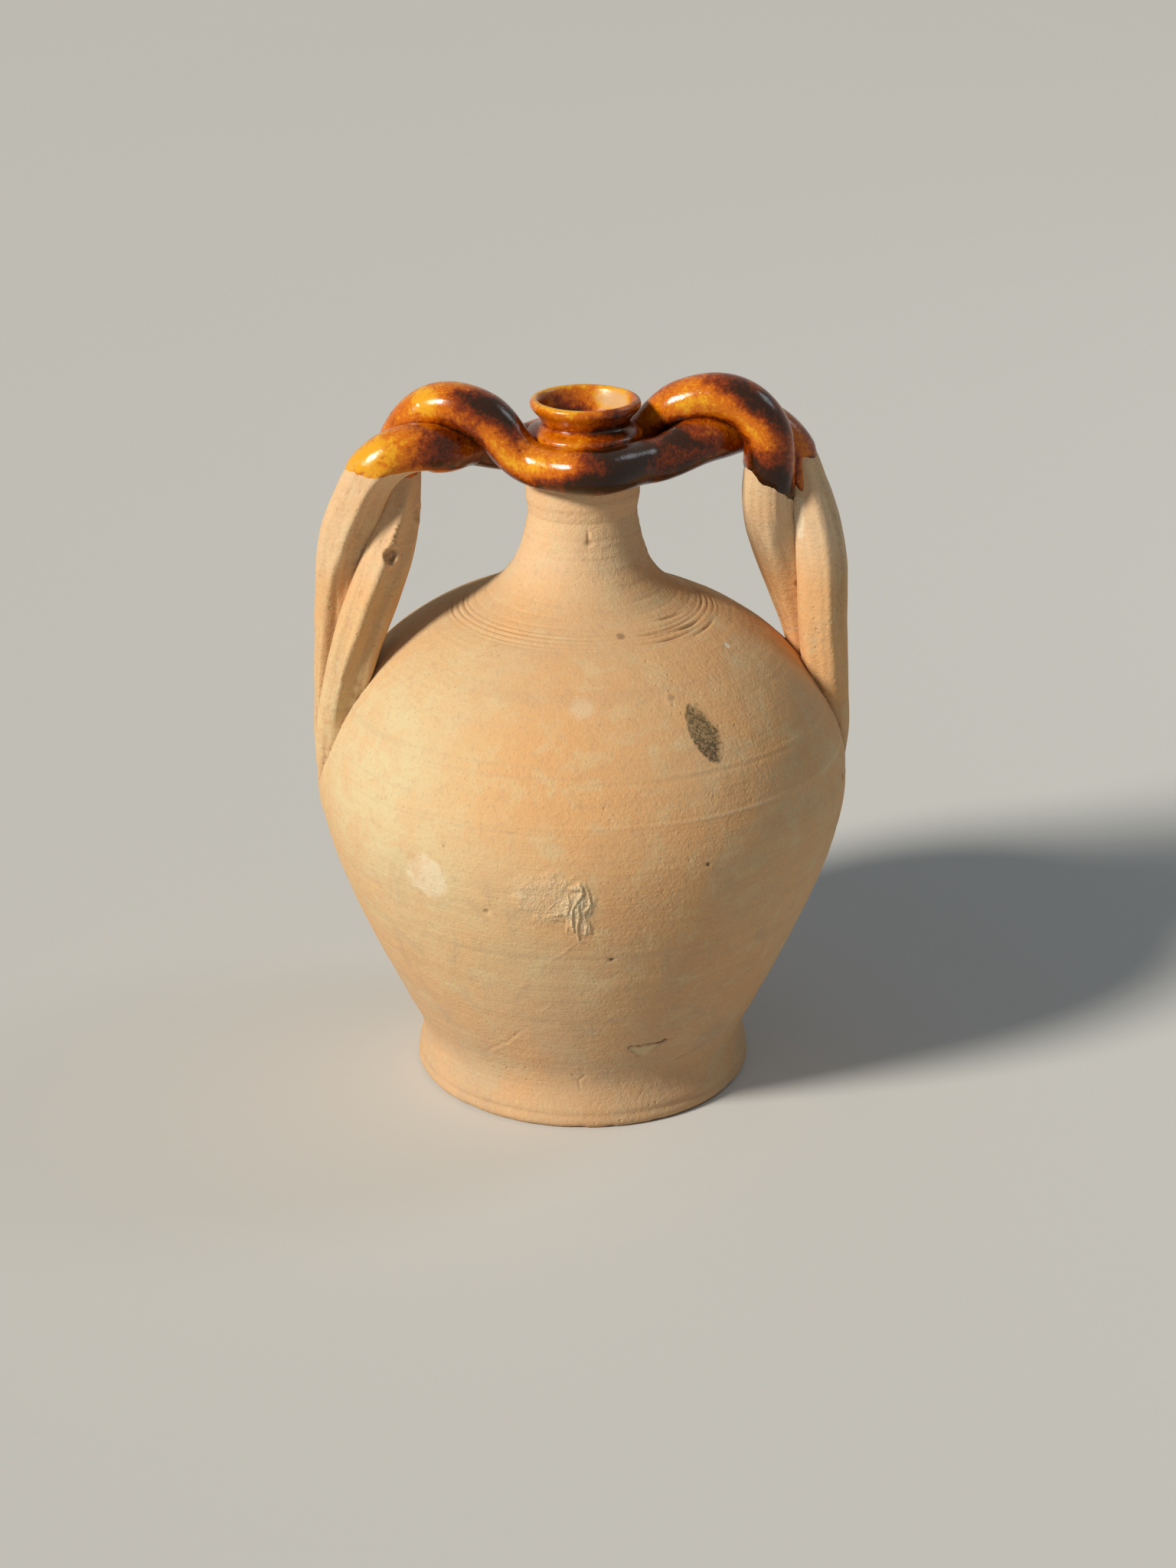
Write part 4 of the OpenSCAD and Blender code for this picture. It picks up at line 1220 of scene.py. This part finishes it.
def amber_glaze(finish):
    """Glossy glaze whose colour follows its depth, from honey where it is thin through amber and rust to
    umber where it pools. The pool layer also carries painted shade, and in places painted light, and the
    thin layer a painted sheen along the lip. Clouds and a close mottle add to the depth, and clay shows
    where it is worn."""
    material, point, shader = new_material("dipped_glaze")
    thin, pool_and_shade = point.layer("thin"), point.layer("pool_and_shade")
    clouds = point.noise(45, 3, 0.55, 0.8)
    mottle = point.noise(330, 5, 0.72, 0.4)
    flecks = point.noise(900, 3, 0.6)
    # The pool layer brings painted shade, and painted light where it is negative, into the depth along with
    # pooled glaze.
    depth = (0.34 + pool_and_shade * 0.95 + (clouds - 0.5) * 1.7 + (mottle - 0.5) * 1.25 + (flecks - 0.5) * 0.6
             - thin * 0.55)
    shade = coated(depth.step(-0.20, 0.28).blend(finish.honey, finish.amber), finish, [
        (depth.step(0.28, 0.86), "rust"),
        (depth.step(0.66, 1.30), "umber"),
        (flecks.step(0.60, 0.72) * mottle.step(0.45, 0.6) * 0.50, "umber"),
        (flecks.step(0.42, 0.30) * depth.step(0.7, 0.2) * 0.7, "honey"),
        ((thin + (mottle - 0.5) * 1.2).step(0.9, 1.7) * 0.85, "buff"),
    ])
    feed(shader, "Base Color", shade)
    feed(shader, "Roughness", 0.10 + mottle.step(0.35, 0.8) * 0.14 + thin * 0.10)
    shader.inputs["Specular IOR Level"].default_value = 0.32
    relief = mottle * 0.35 + flecks * 0.12 + point.noise(110, 2) * 1.0
    feed(shader, "Normal", relief.bump(0.5, 0.6))
    return material


# The colour that the floor tends to where it is uneven.
FLOOR_SHADE = (0.5, 0.49, 0.47, 1)


def pale_floor(finish):
    """A plain pale floor with a faint unevenness."""
    material, point, shader = new_material("pale_floor")
    shade = (point.noise(3, 3) * 0.06).blend(finish.floor, FLOOR_SHADE)
    feed(shader, "Base Color", shade)
    shader.inputs["Roughness"].default_value = 0.9
    shader.inputs["Specular IOR Level"].default_value = 0.1
    return material


# The stage. The camera's place and aim follow the photograph, with the image taken as 1536 by 2048.
IMAGE_HEIGHT = 2048
SENSOR = 36
FOCAL_PIXELS = 4000
AXIS_PIXELS_LEFT = 7.5
CAMERA_AZIMUTH = math.radians(-7.1)
CAMERA_PITCH = math.radians(22.41)
CAMERA_DISTANCE = 1.100
CAMERA_HEIGHT = 0.5697
FLOOR_HALF = 8


def add_camera():
    """The camera at the photograph's viewing angle."""
    data = bpy.data.cameras.new("camera")
    data.sensor_width = SENSOR
    data.lens = SENSOR * FOCAL_PIXELS / IMAGE_HEIGHT
    camera = bpy.data.objects.new("camera", data)
    camera.location = (CAMERA_DISTANCE * math.sin(CAMERA_AZIMUTH),
                       -CAMERA_DISTANCE * math.cos(CAMERA_AZIMUTH), CAMERA_HEIGHT)
    yaw = CAMERA_AZIMUTH - math.atan(AXIS_PIXELS_LEFT / FOCAL_PIXELS)
    camera.rotation_euler = (math.pi / 2 - CAMERA_PITCH, 0, yaw)
    bpy.context.scene.collection.objects.link(camera)
    bpy.context.scene.camera = camera


# Lamps: kind, azimuth and elevation in degrees, distance in metres, tint and energy.
LAMPS = {
    "key": ("SUN", -63, 33, 2.0, (1, 0.95, 0.86), 3.8),
    "fill": ("AREA", 100, 43, 2.2, (0.82, 0.91, 1), 5.2),
}
KEY_ANGLE = math.radians(12)
FILL_SIZE = 0.6
LAMP_AIM = np.array([0, 0, 0.14])


def add_lamp(name):
    """A lamp aimed at the middle of the vase."""
    kind, azimuth, elevation, distance, tint, energy = LAMPS[name]
    data = bpy.data.lights.new(name, kind)
    data.color = tint
    data.energy = energy
    lamp = bpy.data.objects.new(name, data)
    a, e = math.radians(azimuth), math.radians(elevation)
    away = np.array([math.sin(a) * math.cos(e), -math.cos(a) * math.cos(e), math.sin(e)])
    lamp.location = away * distance + LAMP_AIM
    lamp.rotation_euler = (math.pi / 2 - e, 0, a)
    bpy.context.scene.collection.objects.link(lamp)
    return data


# Colour and level of the surround as it lights the vase, and as it is seen.
SURROUND_LIGHT = (0.151, 0.166, 0.180, 1)
SURROUND_SEEN = (0.54, 0.53, 0.49, 1)


def studio_world():
    """A dim, cool surround for soft light, which the camera and reflections see as pale as the floor."""
    world = bpy.data.worlds.new("studio")
    world.use_nodes = True
    tree = world.node_tree
    rays = tree.nodes.new("ShaderNodeLightPath")
    camera, gloss, glass = (Wire(tree, rays.outputs[f"Is {kind} Ray"])
                            for kind in ("Camera", "Glossy", "Transmission"))
    feed(tree.nodes["Background"], "Color", (camera + gloss + glass).blend(SURROUND_LIGHT, SURROUND_SEEN))
    return world


# Operators

def vessel_setup(context):
    """Sizes and outline that the operators share."""
    v = in_mm(context.scene.vase_vessel)
    return v, in_mm(context.scene.vase_coils), in_mm(context.scene.vase_glaze), vessel_lines(v)


def material_named(name, build):
    """A material by name, built if it isn't there yet."""
    return bpy.data.materials.get(name) or build()


# Columns of the meshes round the vase and round the rim, and the coils: name, node, whether it is turned
# half round, and the seed of its noise.
COLUMNS = 416
RIM_COLUMNS = 300
COILS = (("front", "front_coil", False, 21), ("back", "back_coil", True, 31))


def coil_paths(v, c):
    """Paths of the front and the back coil. The back coil's right end is at the left handle."""
    right = handle_stations(v, c)
    left = right + LEFT_ARCH
    return {"front": coil_path("front", right, left, c.twist),
            "back": coil_path("back", left, right, c.twist)}


class VASE_OT_thrown_sections(bpy.types.Operator):
    """Turn the lower body, the upper body, the neck and the mouth"""

    bl_idname = "vase.thrown_sections"
    bl_label = "Thrown sections"

    def execute(self, context):
        v, _, _, lines = vessel_setup(context)
        clay = material_named("fired_clay", lambda: terracotta(context.scene.vase_finishes, lines))
        for name, (outer, rest) in section_lines(v, lines).items():
            thrown_section(name, outer, rest, lines, COLUMNS, clay)
        return {"FINISHED"}


class VASE_OT_coils(bpy.types.Operator):
    """Twist the two coils of the handles and lute their ends"""

    bl_idname = "vase.coils"
    bl_label = "Coils and roots"

    def execute(self, context):
        v, c, glaze, lines = vessel_setup(context)
        clay = material_named("fired_clay", lambda: terracotta(context.scene.vase_finishes, lines))
        paths = coil_paths(v, c)
        for coil, name, back, seed in COILS:
            make_coil(name, paths[coil], back, glaze, lines, seed, clay)
        make_root("right_root", 1, v, c, lines, clay)
        make_root("left_root", -1, v, c, lines, clay)
        return {"FINISHED"}


class VASE_OT_glaze(bpy.types.Operator):
    """Dip the mouth and the arches in glaze"""

    bl_idname = "vase.glaze"
    bl_label = "Glaze"

    def execute(self, context):
        v, c, glaze, lines = vessel_setup(context)
        gloss = material_named("dipped_glaze", lambda: amber_glaze(context.scene.vase_finishes))
        paths = coil_paths(v, c)
        for coil, name, back, seed in COILS:
            make_coil_glaze(name + "_glaze", paths[coil], back, glaze, lines, seed, gloss)
        make_mouth_glaze(v, glaze, lines, RIM_COLUMNS, gloss)
        return {"FINISHED"}


class VASE_OT_stage(bpy.types.Operator):
    """Lay the floor, set the lamps and place the camera"""

    bl_idname = "vase.stage"
    bl_label = "Stage"

    def execute(self, context):
        mesh = bpy.data.meshes.new("floor")
        corners = [(-FLOOR_HALF, -FLOOR_HALF, 0), (FLOOR_HALF, -FLOOR_HALF, 0), (FLOOR_HALF, FLOOR_HALF, 0),
                   (-FLOOR_HALF, FLOOR_HALF, 0)]
        mesh.from_pydata(corners, [], [(0, 1, 2, 3)])
        mesh.materials.append(material_named("pale_floor", lambda: pale_floor(context.scene.vase_finishes)))
        floor = bpy.data.objects.new("floor", mesh)
        context.scene.collection.objects.link(floor)
        context.scene.world = studio_world()
        add_lamp("key").angle = KEY_ANGLE
        add_lamp("fill").size = FILL_SIZE
        add_camera()
        context.scene.view_settings.view_transform = "Standard"
        return {"FINISHED"}


class VASE_PT_sidebar(bpy.types.Panel):
    """Sizes, colours and makers of the vase"""

    bl_idname = "VASE_PT_sidebar"
    bl_label = "Amphora vase"
    bl_space_type = "VIEW_3D"
    bl_region_type = "UI"
    bl_category = "Vase"

    def draw(self, context):
        for group in (context.scene.vase_vessel, context.scene.vase_coils, context.scene.vase_glaze,
                      context.scene.vase_finishes):
            box = self.layout.box()
            for name in group.__annotations__:
                box.prop(group, name)
        for operator in OPERATORS:
            self.layout.operator(operator.bl_idname)


OPERATORS = (VASE_OT_thrown_sections, VASE_OT_coils, VASE_OT_glaze, VASE_OT_stage)
GROUPS = {"vase_vessel": VesselSizes, "vase_coils": CoilSizes, "vase_glaze": GlazeSizes,
          "vase_finishes": Finishes}


def register():
    """Registers the classes and hangs the property groups on the scene."""
    for kind in (*GROUPS.values(), *OPERATORS, VASE_PT_sidebar):
        bpy.utils.register_class(kind)
    for name, group in GROUPS.items():
        setattr(bpy.types.Scene, name, bpy.props.PointerProperty(type=group))


def unregister():
    """Undoes what register did, in the opposite order."""
    for name in GROUPS:
        delattr(bpy.types.Scene, name)
    for kind in reversed((*GROUPS.values(), *OPERATORS, VASE_PT_sidebar)):
        bpy.utils.unregister_class(kind)


def main():
    """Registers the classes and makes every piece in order."""
    register()
    bpy.ops.vase.thrown_sections()
    bpy.ops.vase.coils()
    bpy.ops.vase.glaze()
    bpy.ops.vase.stage()


if __name__ == "__main__":
    main()
